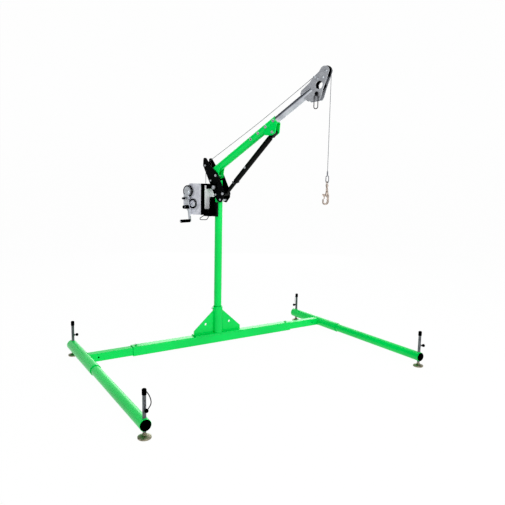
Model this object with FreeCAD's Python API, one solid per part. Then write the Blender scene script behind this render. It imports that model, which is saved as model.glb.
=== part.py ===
import FreeCAD, Part
import math
import os
from FreeCAD import Placement, Rotation, Vector

# Portable davit crane on an H-shaped floor base, in millimetres, +Z up.
# The origin is the middle of the base's footprint on the floor, +X points along the legs.
# "Near" is the crank side of the arm plane, "far" is the other side.

# Base tubes
leg_od = 82.5
leg_wall = 5.0
leg_play = 0.8
tee_wall = 5.5
tee_od = leg_od + 2 * (leg_play + tee_wall)
beam_width = 90.0
beam_wall = 6.0
beam_play = 1.0
corner_ratio = 1.6
stub_width = beam_width - 2 * (beam_wall + beam_play)
stub_wall = 5.0
tube_height = 96.0
track_half = 1360.0
beam_half = 920.0
stub_overlap = 340.0
tee_front = 345.0
tee_rear = -460.0
leg_front = 1496.0
leg_overlap = 340.0
cap_plate = 6.0
cap_spigot = 5.0
cap_lip = 3.0
cap_edge = 1.5
stub_hole_d = 14.0
stub_hole_from_leg = 115.0

# Footing of the mast on the main beam
foot_plate_length = 540.0
foot_plate_width = 100.0
foot_plate_thick = 10.0
gusset_thick = 10.0
gusset_nose = 40.0
gusset_top = 385.0
gusset_hole_d = 26.0
gusset_hole_at = (138.0, 250.0)
socket_od = 101.6
socket_wall = 8.0
socket_top = 425.0
bush_play = 0.05
mast_od = 76.2
mast_wall = 6.0
mast_play = 0.1
mast_seat = 0.4
mast_top = 1715.0
clamp_d = 10.0
clamp_hole_play = 0.3
clamp_tip_gap = 0.4
clamp_flats = 18.0
clamp_head = 11.0
clamp_boss_d = 26.0
clamp_boss = 7.0
socket_clamp_below_top = 14.0
beam_clamp_from_end = 40.0

# Levelling jacks
jack_from_end = 20.0
jack_front_x = leg_front - jack_from_end
jack_rear_x = -416.0
jack_tube_od = 25.4
jack_rod_d = 18.0
jack_rod_play = 0.1
jack_tube_bottom = 43.0
jack_tube_top = 306.0
jack_fit = 0.1
jack_rod_top = 276.0
jack_cap_od = 31.0
jack_cap_top = 341.0
jack_cap_skirt = 6.0
jack_cap_edge = 5.0
pad_d = 93.0
pad_rim = 11.0
pad_neck_d = 30.0
pad_top = 32.0
pad_neck = 8.0
pad_edge = 2.0
rod_edge = 1.0
pin_height = 203.0
pin_d = 8.0
pin_hole_play = 0.3
pin_boss_d = 17.0
pin_boss_out = 20.0
pin_knob_d = 28.0
pin_knob_out = 38.0
pin_groove_depth = 3.0
pin_tip_gap = 0.6
pin_groove_side = 0.5
rf_pin_turn = 57.0
spare_hole_pitch = 30.0
spare_holes = 2

# Upper works: the arm plane is swung about the mast from straight ahead
swing = 20.0
plate_thick = 8.0
plate_play = 0.6
plate_edge = 0.8
plate_in = mast_od / 2 + plate_play
plate_out = plate_in + plate_thick
arm_pivot = (0.0, 1761.0)
strut_foot = (93.0, 1583.0)
pulley_centre = (-143.0, 1860.0)
rear_bolt = (-68.0, 1711.0)
main_bolt = (-18.0, 1643.0)
mast_bolt = (1.0, 1573.0)
toe_bolt = (61.0, 1524.0)
bolt_d = 12.0
pivot_d = 16.0
main_bolt_d = 22.0
bolt_play = 0.1
bolt_head_ratio = 0.7
bolt_flats_ratio = 1.6
main_flats = 38.0
spacer_d = 24.0
bracket_corner = 14.0
bracket_outline = ((-172.0, 1937.0), (-138.0, 1937.0), (-85.0, 1866.0), (18.0, 1784.0), (110.0, 1606.0),
                   (109.0, 1550.0), (64.0, 1495.0), (24.0, 1506.0), (-12.0, 1552.0), (-150.0, 1812.0),
                   (-176.0, 1862.0))

# Wire rope and its pulleys
rope_d = 5.0
rope_gap = 0.3
pulley_r = 36.0
pulley_rim = 5.0
pulley_width = 16.0
pulley_hub_d = 28.0
hub_play = 0.5
sheave_r = 41.0
sheave_rim = 4.0
sheave_width = 18.0
sheave_hub_d = 30.0

# Arm tube, in arm coordinates: u along the tube from the foot of the pivot's normal, h up from its axis
arm_rise = 31.8
heel = 68.0
arm_od = 76.2
boom_od = 63.5
boom_play = 0.15
arm_low = -5.0
arm_end = 850.0
heel_lug_thick = 8.0
heel_lug_r = 30.0
heel_lug_reach = 95.0
adjust_hole_d = 24.0
adjust_first = 532.0
adjust_pitch = 99.0
adjust_count = 4
strut_head = (771.0, -84.0)
head_lug_thick = 8.0
head_lug_in = 26.0
head_lug_corner = 10.0
head_lug_outline = ((687.0, -12.0), (687.0, -62.0), (752.0, -105.0), (796.0, -105.0), (848.0, -36.0), (848.0, -12.0))

# Telescopic strut
strut_inner_od = 38.1
strut_outer_od = 50.8
strut_wall = 5.0
strut_play = 0.3
strut_eye_d = 44.0
strut_pin_at = 168.0
strut_pin_d = 10.0
strut_stop_gap = 0.5
strut_step = strut_pin_at + strut_pin_d / 2 + strut_stop_gap
strut_inner_lap = 330.0
strut_pin_half = 47.0
strut_pin_ring_r = 13.0
strut_pin_wire = 3.0
strut_bolt_at = 361.0
strut_bolt_d = 12.0
strut_eye_half = 20.0
strut_head_slack = 2.6
strut_head_eye_d = 44.0

# Boom and head, in arm coordinates
boom_wall = 4.0
boom_inner_end = 540.0
boom_end = 1284.0
head_in = 24.0
head_thick = 6.0
notch_half = 22.5
sheave_at = (1467.0, 48.0)
head_corner = 14.0
head_outline = ((1172.0, 30.0), (1196.0, 50.0), (1300.0, 58.0), (1340.0, 76.0), (1412.0, 80.0),
                (1446.0, 95.0), (1470.0, 96.0), (1490.0, 83.0), (1505.0, 56.0), (1501.0, 31.0), (1440.0, -18.0),
                (1382.0, -62.0), (1330.0, -110.0), (1305.0, -122.0), (1208.0, -72.0), (1187.0, -30.0))
head_hole_at = (1362.0, -16.0)
head_hole_d = 68.0
head_bolts_at = ((1420.0, 19.0), (1371.0, 40.0), (1356.0, 68.0))
head_bolt_d = 10.0
head_pin_at = (1310.0, -66.0)
head_pin_d = 10.0
head_pin_out = 9.0
head_ring_r = 13.0
wire_d = 7.0
head_loop_half = 19.0
head_loop_drop = 126.0

# Winch behind the mast
winch_outline = ((-128.0, 1679.0), (-282.0, 1679.0), (-372.0, 1612.0), (-372.0, 1462.0), (-284.0, 1366.0),
                 (-128.0, 1366.0))
winch_front = -128.0
winch_frame_half = 97.0
winch_half = 127.0
frame_wall = 6.0
cover_wall = 3.0
drum_axis = (-236.0, 1476.0)
crank_axis = (-300.0, 1601.0)
drum_rope_r = pulley_centre[0] - pulley_r - drum_axis[0]
drum_pack_r = drum_rope_r - rope_d / 2 - rope_gap
drum_flange_r = 88.0
drum_flange = 6.0
drum_half = 84.0
drum_shaft_d = 30.0
gear_teeth = 50
pinion_teeth = 20
gear_width = 12.0
gear_inset = 4.0
tooth_share = 0.43
crank_shaft_d = 20.0
shaft_play = 0.1
upper_ring_r = 58.0
upper_ring = 20.0
lower_ring_r = 49.0
lower_ring = 9.0
lower_hub_r = 34.0
crank_gap = 1.0
crank_hub_r = 46.0
crank_thick = 10.0
crank_width = 26.0
crank_length = 303.0
crank_lean = 9.0
knuckle_at = 162.0
knuckle_d = 36.0
knuckle_length = 74.0
crank_knob_at = (70.0, -34.0)
crank_knob_d = 20.0
crank_knob_length = 42.0
crank_plate = ((0.0, -24.0), (54.0, -46.0), (86.0, -46.0), (150.0, -26.0), (150.0, 13.0), (0.0, 24.0))
grip_d = 32.0
grip_length = 128.0
grip_edge = 3.0
grip_waist = 2.0
grip_rod_d = 12.0
grip_play = 0.1
panel_half = 79.0
panel_play = 0.3
panel_low = 1424.0
panel_high = 1664.0
panel_thick = 3.0
stay_thick = 6.0
stay_low = 1629.0
stay_high = 1672.0
stay_nose = 24.0
toe_bar_high = 1420.0
toe_bar_depth = 22.0
rope_slot_d = 18.0
mast_clamp_half = 50.0
mast_clamp_low = 1354.0
mast_clamp_high = 1497.0
mast_clamp_near = 22.0
mast_clamp_far = -4.0
mast_clamp_back = -48.0
mast_clamp_fit = 0.3
hanger_high = 1546.0
hanger_half = 22.0
hanger_wall = 6.0
winch_pin_d = 10.0
winch_pin_at = (-112.0, 1400.0)
winch_tab_thick = 6.0
winch_tab_gap = 1.0
winch_loop = ((8.0, -4.0), (-3.0, -38.0), (-60.0, -70.0), (-58.0, -86.0), (36.0, -82.0), (62.0, -38.0))

# Hook on the rope's end, heights above the floor
ferrule_d = 12.0
ferrule_top = 1802.0
ferrule_low = 1760.0
thimble_wire = 7.0
thimble_half = 13.0
thimble_low = 1707.0
thimble_top = 1763.0
bail_r = 13.0
bail_wire = 7.0
collar_d = 24.0
collar_height = 16.0
swivel_gap = 0.3
hook_neck_d = 16.0
hook_neck = 30.0
hook_thick = 18.0
hook_total = 158.0
hook_corner = 12.0
hook_edge = 3.5
hook_turn = 57.0
hook_outline = ((-9.0, -14.0), (9.0, -14.0), (12.0, -50.0), (20.0, -76.0), (20.0, -136.0), (9.0, -154.0),
                (-9.0, -hook_total), (-27.0, -154.0), (-36.0, -142.0), (-36.0, -108.0), (-24.0, -108.0), (-24.0, -134.0),
                (-18.0, -143.0), (-5.0, -143.0), (2.0, -134.0), (2.0, -90.0), (-10.0, -80.0), (-10.0, -50.0))
gate_thick = 8.0
gate_play = 0.5
gate_pin_d = 5.0
gate_eye_r = 7.0
gate_pivot = (0.0, -72.0)
gate_outline = ((0.0, -65.0), (-37.0, -62.0), (-37.0, -76.0), (-25.4, -88.0), (-25.4, -106.6), (-18.0, -106.6),
                (-15.0, -86.0), (0.0, -79.0))

# Cords, points from the axis of each jack at floor level, and the sag of the rope
lf_lanyard_d = 6.5
lf_lanyard_route = ((15.6, 9.0, 325.0), (24.8, 14.3, 317.0), (33.5, 21.5, 302.0), (41.0, 28.0, 281.0),
                    (45.5, 30.5, 258.0), (46.0, 24.5, 236.0), (41.5, 8.9, 213.7))
rr_lanyard_d = 2.5
rr_lanyard_route = ((0.0, -16.8, 322.0), (0.0, -24.0, 302.0), (0.0, -29.5, 276.0), (0.0, -34.0, 246.0),
                    (0.0, -37.5, 217.8))
span_sag = 18.0

# Frames
front_most = max(leg_front + cap_plate, jack_front_x + max(pad_d / 2, pin_knob_out + pin_knob_d / 2))
rear_most = min(tee_rear, jack_rear_x - pad_d / 2)
footprint_middle = (front_most + rear_most) / 2
base_place = Placement(Vector(-footprint_middle, 0, 0), Rotation())
upper_place = Placement(Vector(-footprint_middle, 0, 0), Rotation(Vector(0, 0, 1), swing))
rise = math.radians(arm_rise)
arm_origin = Vector(arm_pivot[0] - heel * math.sin(rise), 0, arm_pivot[1] + heel * math.cos(rise))
arm_place = Placement(arm_origin, Rotation(Vector(0, 1, 0), -arm_rise))
strut_top = arm_place.multVec(Vector(strut_head[0], 0, strut_head[1]))
strut_base = Vector(strut_foot[0], 0, strut_foot[1])
strut_run = strut_top.sub(strut_base)
strut_rise = math.degrees(math.atan2(strut_run.z, strut_run.x))
strut_length = strut_run.Length
strut_place = Placement(strut_base, Rotation(Vector(0, 1, 0), -strut_rise))
sheave_centre = arm_place.multVec(Vector(sheave_at[0], 0, sheave_at[1]))
drop_x = sheave_centre.x + sheave_r
plate_top = tube_height + beam_width / 2 + foot_plate_thick
crank_face = winch_half + upper_ring - crank_thick
X = Vector(1, 0, 0)
Y = Vector(0, 1, 0)
Z = Vector(0, 0, 1)


def box(x0, x1, y0, y1, z0, z1):
    return Part.makeBox(x1 - x0, y1 - y0, z1 - z0, Vector(x0, y0, z0))


def rod(point, axis, length, diameter):
    return Part.makeCylinder(diameter / 2, length, point, axis)


def pipe(point, axis, length, outer, inner):
    return rod(point, axis, length, outer).cut(rod(point, axis, length, inner))


def across(x, z, half, diameter):
    """Cylinder across the arm plane, centred on it."""
    return rod(Vector(x, -half, z), Y, 2 * half, diameter)


def bend(before, corner, after, reach):
    """Arc that rounds a corner from a reach before it to a reach after it: start, middle, end, radius."""
    back = before.sub(corner).normalize()
    ahead = after.sub(corner).normalize()
    half_turn = (math.pi - back.getAngle(ahead)) / 2
    radius = reach / math.tan(half_turn)
    bisector = (back + ahead).normalize()
    middle = corner + bisector * (radius / math.cos(half_turn) - radius)
    return corner + back * reach, middle, corner + ahead * reach, radius


def prism(points, y0, y1):
    """Outline in x and z, drawn out from y0 to y1."""
    corners = [Vector(x, y0, z) for x, z in points]
    wire = Part.makePolygon(corners + corners[:1])
    return Part.Face(wire).extrude(Vector(0, y1 - y0, 0))


def rim_edges(plate, y0, y1):
    """Edges of a plate that lie in one of its two faces."""
    return [e for e in plate.Edges if e.BoundBox.YLength < 0.01 * abs(y1 - y0)]


def square_bar(side, corner, y0, y1, height):
    """Square bar along y with rounded corners, centred on x and on a height."""
    half = side / 2
    bar = box(-half, half, min(y0, y1), max(y0, y1), height - half, height + half)
    return bar.makeFillet(corner, [e for e in bar.Edges if e.BoundBox.YLength > side / 100])


def rounded_prism(points, y0, y1, radius, edge):
    """Outline in x and z, drawn out from y0 to y1: corners rounded as far as the sides allow, edges broken."""
    corners = [Vector(x, y0, z) for x, z in points]
    arcs = []
    for before, corner, after in zip(corners[-1:] + corners, corners, corners[1:] + corners[:1]):
        half_turn = (math.pi - before.sub(corner).getAngle(after.sub(corner))) / 2
        shorter = min(before.sub(corner).Length, after.sub(corner).Length)
        arcs.append(bend(before, corner, after, min(radius * math.tan(half_turn), 0.45 * shorter)))
    edges = []
    for (start, middle, end, _), following in zip(arcs, arcs[1:] + arcs[:1]):
        edges.append(Part.Arc(start, middle, end).toShape())
        edges.append(Part.LineSegment(end, following[0]).toShape())
    plate = Part.Face(Part.Wire(edges)).extrude(Vector(0, y1 - y0, 0))
    return plate.makeChamfer(edge, rim_edges(plate, y0, y1))


def inset(points, wall):
    """The outline moved inward by a wall, its corners kept sharp."""
    corners = [Vector(x, 0, z) for x, z in points]
    wire = Part.makePolygon(corners + corners[:1])
    inner = wire.makeOffset2D(-wall, 2)
    return [(v.Point.x, v.Point.z) for v in inner.OrderedVertexes]


def aim(shape, point, axis):
    """A shape made along +Z, turned to the axis and moved to the point."""
    shape.Placement = Placement(point, Rotation(Z, axis)).multiply(shape.Placement)
    return shape


def hexagon(point, axis, flats, height):
    corners = [Vector(flats / math.sqrt(3), 0, 0)]
    for step in range(1, 7):
        corners.append(Rotation(Z, 60 * step).multVec(corners[0]))
    return aim(Part.Face(Part.makePolygon(corners)).extrude(Vector(0, 0, height)), point, axis)


def turned(profile, point, axis):
    """A turned piece from its half section of radius and height."""
    corners = [Vector(r, 0, z) for r, z in profile]
    face = Part.Face(Part.makePolygon(corners + corners[:1]))
    return aim(face.revolve(Vector(), Z, 360), point, axis)


def fuse(*shapes):
    return shapes[0].multiFuse(list(shapes[1:])).removeSplitter()


def cut(shape, *tools):
    return shape.cut(list(tools))


def along(edges, diameter):
    """A round wire along a path of lines and arcs that meet smoothly."""
    path = Part.Wire(edges)
    start = path.Edges[0]
    first = start.valueAt(start.FirstParameter)
    heading = start.tangentAt(start.FirstParameter)
    ring = Part.Wire([Part.Circle(first, heading, diameter / 2).toShape()])
    return Part.Solid(path.makePipeShell([ring], True, False))


def route(name, points, diameter):
    """A cord through points: straight runs joined by arcs as large as the runs allow."""
    edges = []
    radii = []
    last = points[0]
    for before, corner, after in zip(points, points[1:], points[2:]):
        shorter = min(before.sub(corner).Length, after.sub(corner).Length)
        enter, middle, leave, radius = bend(before, corner, after, 0.45 * shorter)
        edges.append(Part.LineSegment(last, enter).toShape())
        edges.append(Part.Arc(enter, middle, leave).toShape())
        radii.append(round(radius, 1))
        last = leave
    edges.append(Part.LineSegment(last, points[-1]).toShape())
    print(name, "bend radii", radii)
    return along(edges, diameter)


def loop(name, points, diameter):
    """A closed wire loop in the arm plane through points of x and z, its corners rounded."""
    corners = [Vector(x, 0, z) for x, z in points]
    start = (corners[0] + corners[1]) * 0.5
    return route(name, [start] + corners[1:] + [corners[0], start], diameter)


def frame_loop(name, x, low, high, half, diameter):
    """An upright loop about x, between two heights."""
    return loop(name, ((x + half, low), (x + half, high), (x - half, high), (x - half, low)), diameter)


def grooved(radius, rim, width, hub_d, hub_half, bore):
    """A rope pulley about its own +Z axis: hub, web and a round-bottomed groove."""
    floor = radius - rope_d / 2 - rope_gap
    outer = radius + rim
    half = width / 2
    lip = rope_d / 2 + rope_gap
    wheel = turned(((bore / 2, -half), (outer, -half), (outer, -half + 1), (floor + lip, -lip), (floor, -lip / 2),
                    (floor, lip / 2), (floor + lip, lip), (outer, half - 1), (outer, half), (bore / 2, half)),
                   Vector(), Z)
    hub = pipe(Vector(0, 0, -hub_half), Z, 2 * hub_half, hub_d, bore)
    return fuse(wheel, hub)


def toothed(teeth, module, width, flank_share):
    """A spur gear about +Z with straight-flanked teeth, one tooth on +X."""
    pitch_r = module * teeth / 2
    tip = pitch_r + 0.8 * module
    root = pitch_r - 1.1 * module
    step = 2 * math.pi / teeth
    lean = math.tan(math.radians(22))
    corners = []
    for tooth in range(teeth):
        for radius, side in ((root, -1), (tip, -1), (tip, 1), (root, 1)):
            half = flank_share * step / 2 - (radius - pitch_r) * lean / pitch_r
            angle = tooth * step + side * half
            corners.append(Vector(radius * math.cos(angle), radius * math.sin(angle), 0))
    return Part.Face(Part.makePolygon(corners + corners[:1])).extrude(Vector(0, 0, width))


def through_bolt(x, z, diameter, flats, outer):
    """Bolt across the arm plane: head on the near side, nut on the far side."""
    head = diameter * bolt_head_ratio
    shank = across(x, z, outer + head / 2, diameter)
    near = hexagon(Vector(x, -outer, z), -Y, flats, head)
    far = hexagon(Vector(x, outer, z), Y, flats, head)
    return fuse(shank, near, far)


def save(name, place, *solids):
    """Write one node, its pieces moved into the part's frame."""
    pieces = []
    for solid in solids:
        piece = solid.copy()
        piece.Placement = place.multiply(piece.Placement)
        pieces.append(piece)
    shape = pieces[0] if len(pieces) == 1 else Part.makeCompound(pieces)
    shape.exportStep("parts/" + name + ".step")
    return shape


def main_beam():
    """Outer cross tube with the mast's footing welded on top."""
    inner = beam_width / 2 - beam_wall
    high = tube_height + beam_width / 2
    corner = corner_ratio * beam_wall
    tube = cut(square_bar(beam_width, corner, -beam_half, beam_half, tube_height),
               square_bar(2 * inner, corner - beam_wall, -beam_half, beam_half, tube_height))
    plate = box(-foot_plate_width / 2, foot_plate_width / 2, -foot_plate_length / 2, foot_plate_length / 2,
                high, plate_top)
    socket = rod(Vector(0, 0, plate_top), Z, socket_top - plate_top, socket_od)
    body = [tube, plate, socket]
    for side in (-1, 1):
        outline = ((0, plate_top), (side * foot_plate_length / 2, plate_top),
                   (side * foot_plate_length / 2, plate_top + gusset_nose),
                   (side * socket_od / 2, gusset_top), (0, gusset_top))
        web = prism(outline, -gusset_thick / 2, gusset_thick / 2)
        web = cut(web, across(side * gusset_hole_at[0], gusset_hole_at[1], gusset_thick, gusset_hole_d))
        web.rotate(Vector(), Z, 90)
        body.append(web)
        body.append(rod(Vector(0, side * (beam_half - beam_clamp_from_end), high - beam_wall), Z,
                        clamp_boss + beam_wall, clamp_boss_d))
    clamp_z = socket_top - socket_clamp_below_top
    body.append(rod(Vector(0, -socket_od / 2 - clamp_boss, clamp_z), Y, socket_od / 2, clamp_boss_d))
    frame = fuse(*body)
    hole_d = clamp_d + 2 * clamp_hole_play
    holes = [rod(Vector(0, 0, plate_top), Z, socket_top, socket_od - 2 * socket_wall),
             rod(Vector(0, -socket_od, clamp_z), Y, socket_od, hole_d)]
    for side in (-1, 1):
        holes.append(rod(Vector(0, side * (beam_half - beam_clamp_from_end), tube_height + inner - 1), Z,
                         beam_width, hole_d))
    return cut(frame, *holes)


def sleeve_bush():
    """Plastic liner of the mast socket."""
    outer = socket_od - 2 * socket_wall - 2 * bush_play
    liner = pipe(Vector(0, 0, plate_top), Z, socket_top - plate_top, outer, mast_od + 2 * mast_play)
    clamp_z = socket_top - socket_clamp_below_top
    return cut(liner, rod(Vector(0, -socket_od, clamp_z), Y, socket_od, clamp_d + 2 * clamp_hole_play))


def clamp_bolt(point, axis, tip):
    """Set bolt seated on its boss, with its shank reaching in to the tip distance."""
    head = hexagon(point, axis, clamp_flats, clamp_head)
    shank = rod(point + axis * (clamp_head / 2), axis * -1, tip + clamp_head / 2, clamp_d)
    return fuse(head, shank)


def clamp_bolts():
    high = tube_height + beam_width / 2 + clamp_boss
    stub_top = tube_height + stub_width / 2 + clamp_tip_gap
    bolts = []
    for side in (-1, 1):
        seat = Vector(0, side * (beam_half - beam_clamp_from_end), high)
        bolts.append(clamp_bolt(seat, Z, high - stub_top))
    seat = Vector(0, -socket_od / 2 - clamp_boss, socket_top - socket_clamp_below_top)
    bolts.append(clamp_bolt(seat, -Y, socket_od / 2 + clamp_boss - mast_od / 2 - clamp_tip_gap))
    return bolts


def tee(side):
    """Leg sleeve with the square stub that slides in the main beam."""
    inner = stub_width - 2 * stub_wall
    corner = corner_ratio * stub_wall
    y_leg = side * track_half
    y_end = side * (beam_half - stub_overlap)
    y_wall = side * (track_half - tee_od / 2 + tee_wall)
    sleeve = rod(Vector(tee_rear, y_leg, tube_height), X, tee_front - tee_rear, tee_od)
    stub = square_bar(stub_width, corner, y_leg, y_end, tube_height)
    hollow = square_bar(inner, corner - stub_wall, y_wall, y_end, tube_height)
    bore = rod(Vector(tee_rear, y_leg, tube_height), X, tee_front - tee_rear, leg_od + 2 * leg_play)
    hole = rod(Vector(-beam_width, side * (track_half - stub_hole_from_leg), tube_height), X, 2 * beam_width,
               stub_hole_d)
    return cut(fuse(sleeve, cut(stub, hollow)), bore, hole, jack_hole(jack_rear_x, y_leg))


def leg(side):
    y_leg = side * track_half
    start = tee_front - leg_overlap
    tube = pipe(Vector(start, y_leg, tube_height), X, leg_front - start, leg_od, leg_od - 2 * leg_wall)
    return cut(tube, jack_hole(jack_front_x, y_leg))


def leg_cap(side):
    y_leg = side * track_half
    outer = leg_od / 2 - cap_lip
    bore = leg_od / 2 - leg_wall - jack_fit
    profile = ((0, 0), (bore - leg_wall, 0), (bore - leg_wall, -cap_spigot), (bore, -cap_spigot), (bore, 0), (outer, 0),
               (outer, cap_plate - cap_edge), (outer - cap_edge, cap_plate), (0, cap_plate))
    return turned(profile, Vector(leg_front, y_leg, tube_height), X)


def jack_hole(x, y):
    return rod(Vector(x, y, 0), Z, 2 * tube_height, jack_tube_od + 2 * jack_fit)


def jack_tube(x, y, way):
    """Plated tube through the leg, with the pull pin's boss and spare holes."""
    outer = rod(Vector(x, y, jack_tube_bottom), Z, jack_tube_top - jack_tube_bottom, jack_tube_od)
    boss = rod(Vector(x, y, pin_height), way, pin_boss_out, pin_boss_d)
    bore = rod(Vector(x, y, jack_tube_bottom), Z, jack_tube_top, jack_rod_d + 2 * jack_rod_play)
    hole_d = pin_d + 2 * pin_hole_play
    holes = [rod(Vector(x, y, pin_height), way, 2 * pin_boss_out, hole_d)]
    for step in range(1, spare_holes + 1):
        start = Vector(x, y, pin_height + step * spare_hole_pitch) - way * jack_tube_od
        holes.append(rod(start, way, 2 * jack_tube_od, hole_d))
    return cut(fuse(outer, boss), bore, *holes)


def jack_cap(x, y):
    profile = ((0, jack_tube_top), (jack_tube_od / 2 + jack_fit, jack_tube_top),
               (jack_tube_od / 2 + jack_fit, jack_tube_top - jack_cap_skirt),
               (jack_cap_od / 2, jack_tube_top - jack_cap_skirt), (jack_cap_od / 2, jack_cap_top - jack_cap_edge),
               (jack_cap_od / 2 - jack_cap_edge, jack_cap_top), (0, jack_cap_top))
    return turned(profile, Vector(x, y, 0), Z)


def jack_foot(x, y, way):
    """Round pad on its rod, the rod grooved along the pull pin's side."""
    rod_r = jack_rod_d / 2
    pad_r = pad_d / 2
    profile = ((0, 0), (pad_r - pad_edge, 0), (pad_r, pad_edge), (pad_r, pad_rim),
               (pad_r - 2 * pad_edge, pad_rim + pad_edge), (pad_neck_d / 2, pad_top - pad_neck),
               (pad_neck_d / 2, pad_top), (rod_r, pad_top), (rod_r, jack_rod_top - rod_edge),
               (rod_r - rod_edge, jack_rod_top), (0, jack_rod_top))
    foot = turned(profile, Vector(x, y, 0), Z)
    slot_half = pin_d / 2 + pin_groove_side
    groove = box(rod_r - pin_groove_depth, 2 * rod_r, -slot_half, slot_half, jack_tube_bottom + jack_rod_d,
                 jack_tube_top)
    groove.Placement = Placement(Vector(x, y, 0), Rotation(X, way))
    return cut(foot, groove)


def jack_pin(x, y, way):
    """Pull pin with a ball knob, its tip in the rod's groove."""
    tip = jack_rod_d / 2 - pin_groove_depth + pin_tip_gap
    start = Vector(x, y, pin_height)
    shank = rod(start + way * tip, way, pin_knob_out - tip, pin_d)
    ball = Part.makeSphere(pin_knob_d / 2, start + way * pin_knob_out)
    return fuse(shank, ball)


def lanyard(name, x, y, points, diameter):
    """Cord from a jack's cap to the knob of its pin."""
    spots = [Vector(x + ahead, y + aside, height) for ahead, aside, height in points]
    return route(name, spots, diameter)


def mast_tube():
    foot = plate_top + mast_seat
    tube = pipe(Vector(0, 0, foot), Z, mast_top - foot, mast_od, mast_od - 2 * mast_wall)
    return cut(tube, across(main_bolt[0], main_bolt[1], mast_od, main_bolt_d + 2 * bolt_play),
               across(mast_bolt[0], mast_bolt[1], mast_od, bolt_d + 2 * bolt_play))


def bracket_plate(side):
    """Side plate of the mast head, with a hole for each bolt and pivot."""
    y0, y1 = sorted((side * plate_in, side * plate_out))
    plate = rounded_prism(bracket_outline, y0, y1, bracket_corner, plate_edge)
    holes = [across(x, z, 2 * plate_out, d + 2 * bolt_play)
             for (x, z), d in ((rear_bolt, bolt_d), (main_bolt, main_bolt_d), (mast_bolt, bolt_d), (toe_bolt, bolt_d),
                               (pulley_centre, bolt_d), (arm_pivot, pivot_d), (strut_foot, pivot_d))]
    return cut(plate, *holes)


def bracket_bolts():
    flats = bolt_d * bolt_flats_ratio
    bolts = []
    for x, z in (rear_bolt, toe_bolt):
        spacer = across(x, z, plate_in, spacer_d)
        bolts.append(fuse(through_bolt(x, z, bolt_d, flats, plate_out), spacer))
    for x, z in (mast_bolt, pulley_centre):
        bolts.append(through_bolt(x, z, bolt_d, flats, plate_out))
    bolts.append(through_bolt(main_bolt[0], main_bolt[1], main_bolt_d, main_flats, plate_out + stay_thick))
    for x, z in (arm_pivot, strut_foot):
        bolts.append(through_bolt(x, z, pivot_d, pivot_d * bolt_flats_ratio, plate_out))
    return bolts


def rear_pulley():
    wheel = grooved(pulley_r, pulley_rim, pulley_width, pulley_hub_d, plate_in - hub_play, bolt_d + 2 * bolt_play)
    return aim(wheel, Vector(pulley_centre[0], 0, pulley_centre[1]), Y)


def winch_frame():
    """Black welded box: wall all round, side plates, stays to the mast head and a toe bar."""
    half = winch_frame_half
    ring = cut(prism(winch_outline, -half, half),
               prism(inset(winch_outline, frame_wall), -half + frame_wall, half - frame_wall))
    parts = [ring]
    for side in (-1, 1):
        y0, y1 = sorted((side * plate_out, side * (plate_out + stay_thick)))
        parts.append(box(winch_front - frame_wall, main_bolt[0] + stay_nose, y0, y1, stay_low, stay_high))
        y0, y1 = sorted((side * half, side * winch_half))
        parts.append(box(winch_front, winch_front + frame_wall, y0, y1, winch_outline[-1][1], winch_outline[0][1]))
    front = winch_front + frame_wall
    parts.append(box(winch_front - frame_wall, front, -half, -panel_half, winch_outline[-1][1], winch_outline[0][1]))
    parts.append(box(winch_front - frame_wall, front, panel_half, half, winch_outline[-1][1], winch_outline[0][1]))
    parts.append(box(winch_front - frame_wall, winch_front + toe_bar_depth, -panel_half, panel_half,
                     winch_outline[-1][1], toe_bar_high))
    frame = fuse(*parts)
    window = box(winch_front - 2 * frame_wall, front, -panel_half, panel_half, panel_low, panel_high)
    slot = rod(Vector(pulley_centre[0] - pulley_r, 0, winch_outline[0][1] - 2 * frame_wall), Z, 4 * frame_wall,
               rope_slot_d)
    return cut(frame, window, slot,
               across(main_bolt[0], main_bolt[1], 2 * plate_out, main_bolt_d + 2 * bolt_play),
               across(drum_axis[0], drum_axis[1], winch_half, drum_shaft_d + 2 * shaft_play),
               across(crank_axis[0], crank_axis[1], winch_half, crank_shaft_d + 2 * shaft_play),
               across(winch_pin_at[0], winch_pin_at[1], winch_half, winch_pin_d + 2 * bolt_play))


def winch_cover(side):
    """Cast side cover: a shallow shell, with the two hub rings on the near one."""
    y0, y1 = sorted((side * winch_frame_half, side * winch_half))
    inner_face = side * (winch_half - cover_wall)
    c0, c1 = sorted((side * winch_frame_half, inner_face))
    shell = cut(prism(winch_outline, y0, y1), prism(inset(winch_outline, cover_wall), c0, c1))
    if side > 0:
        return shell
    upper = rod(Vector(crank_axis[0], -winch_half, crank_axis[1]), -Y, upper_ring, 2 * upper_ring_r)
    lower = rod(Vector(drum_axis[0], -winch_half, drum_axis[1]), -Y, lower_ring, 2 * lower_ring_r)
    dish = rod(Vector(drum_axis[0], -winch_half - lower_ring / 2, drum_axis[1]), -Y, lower_ring, 2 * lower_hub_r)
    recess = rod(Vector(crank_axis[0], crank_gap - crank_face, crank_axis[1]), -Y, upper_ring,
                 2 * (crank_hub_r + crank_gap))
    shaft = rod(Vector(crank_axis[0], 0, crank_axis[1]), -Y, 2 * winch_half, crank_shaft_d + 2 * shaft_play)
    return cut(fuse(shell, upper, lower), dish, recess, shaft)


def winch_front_panel():
    """Bright sheet that closes the window in the winch's front."""
    half = panel_half - panel_play
    return box(winch_front - panel_thick, winch_front, -half, half, panel_low + panel_play, panel_high - panel_play)


def gear_module():
    reach = math.dist(drum_axis, crank_axis)
    return 2 * reach / (gear_teeth + pinion_teeth)


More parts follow.
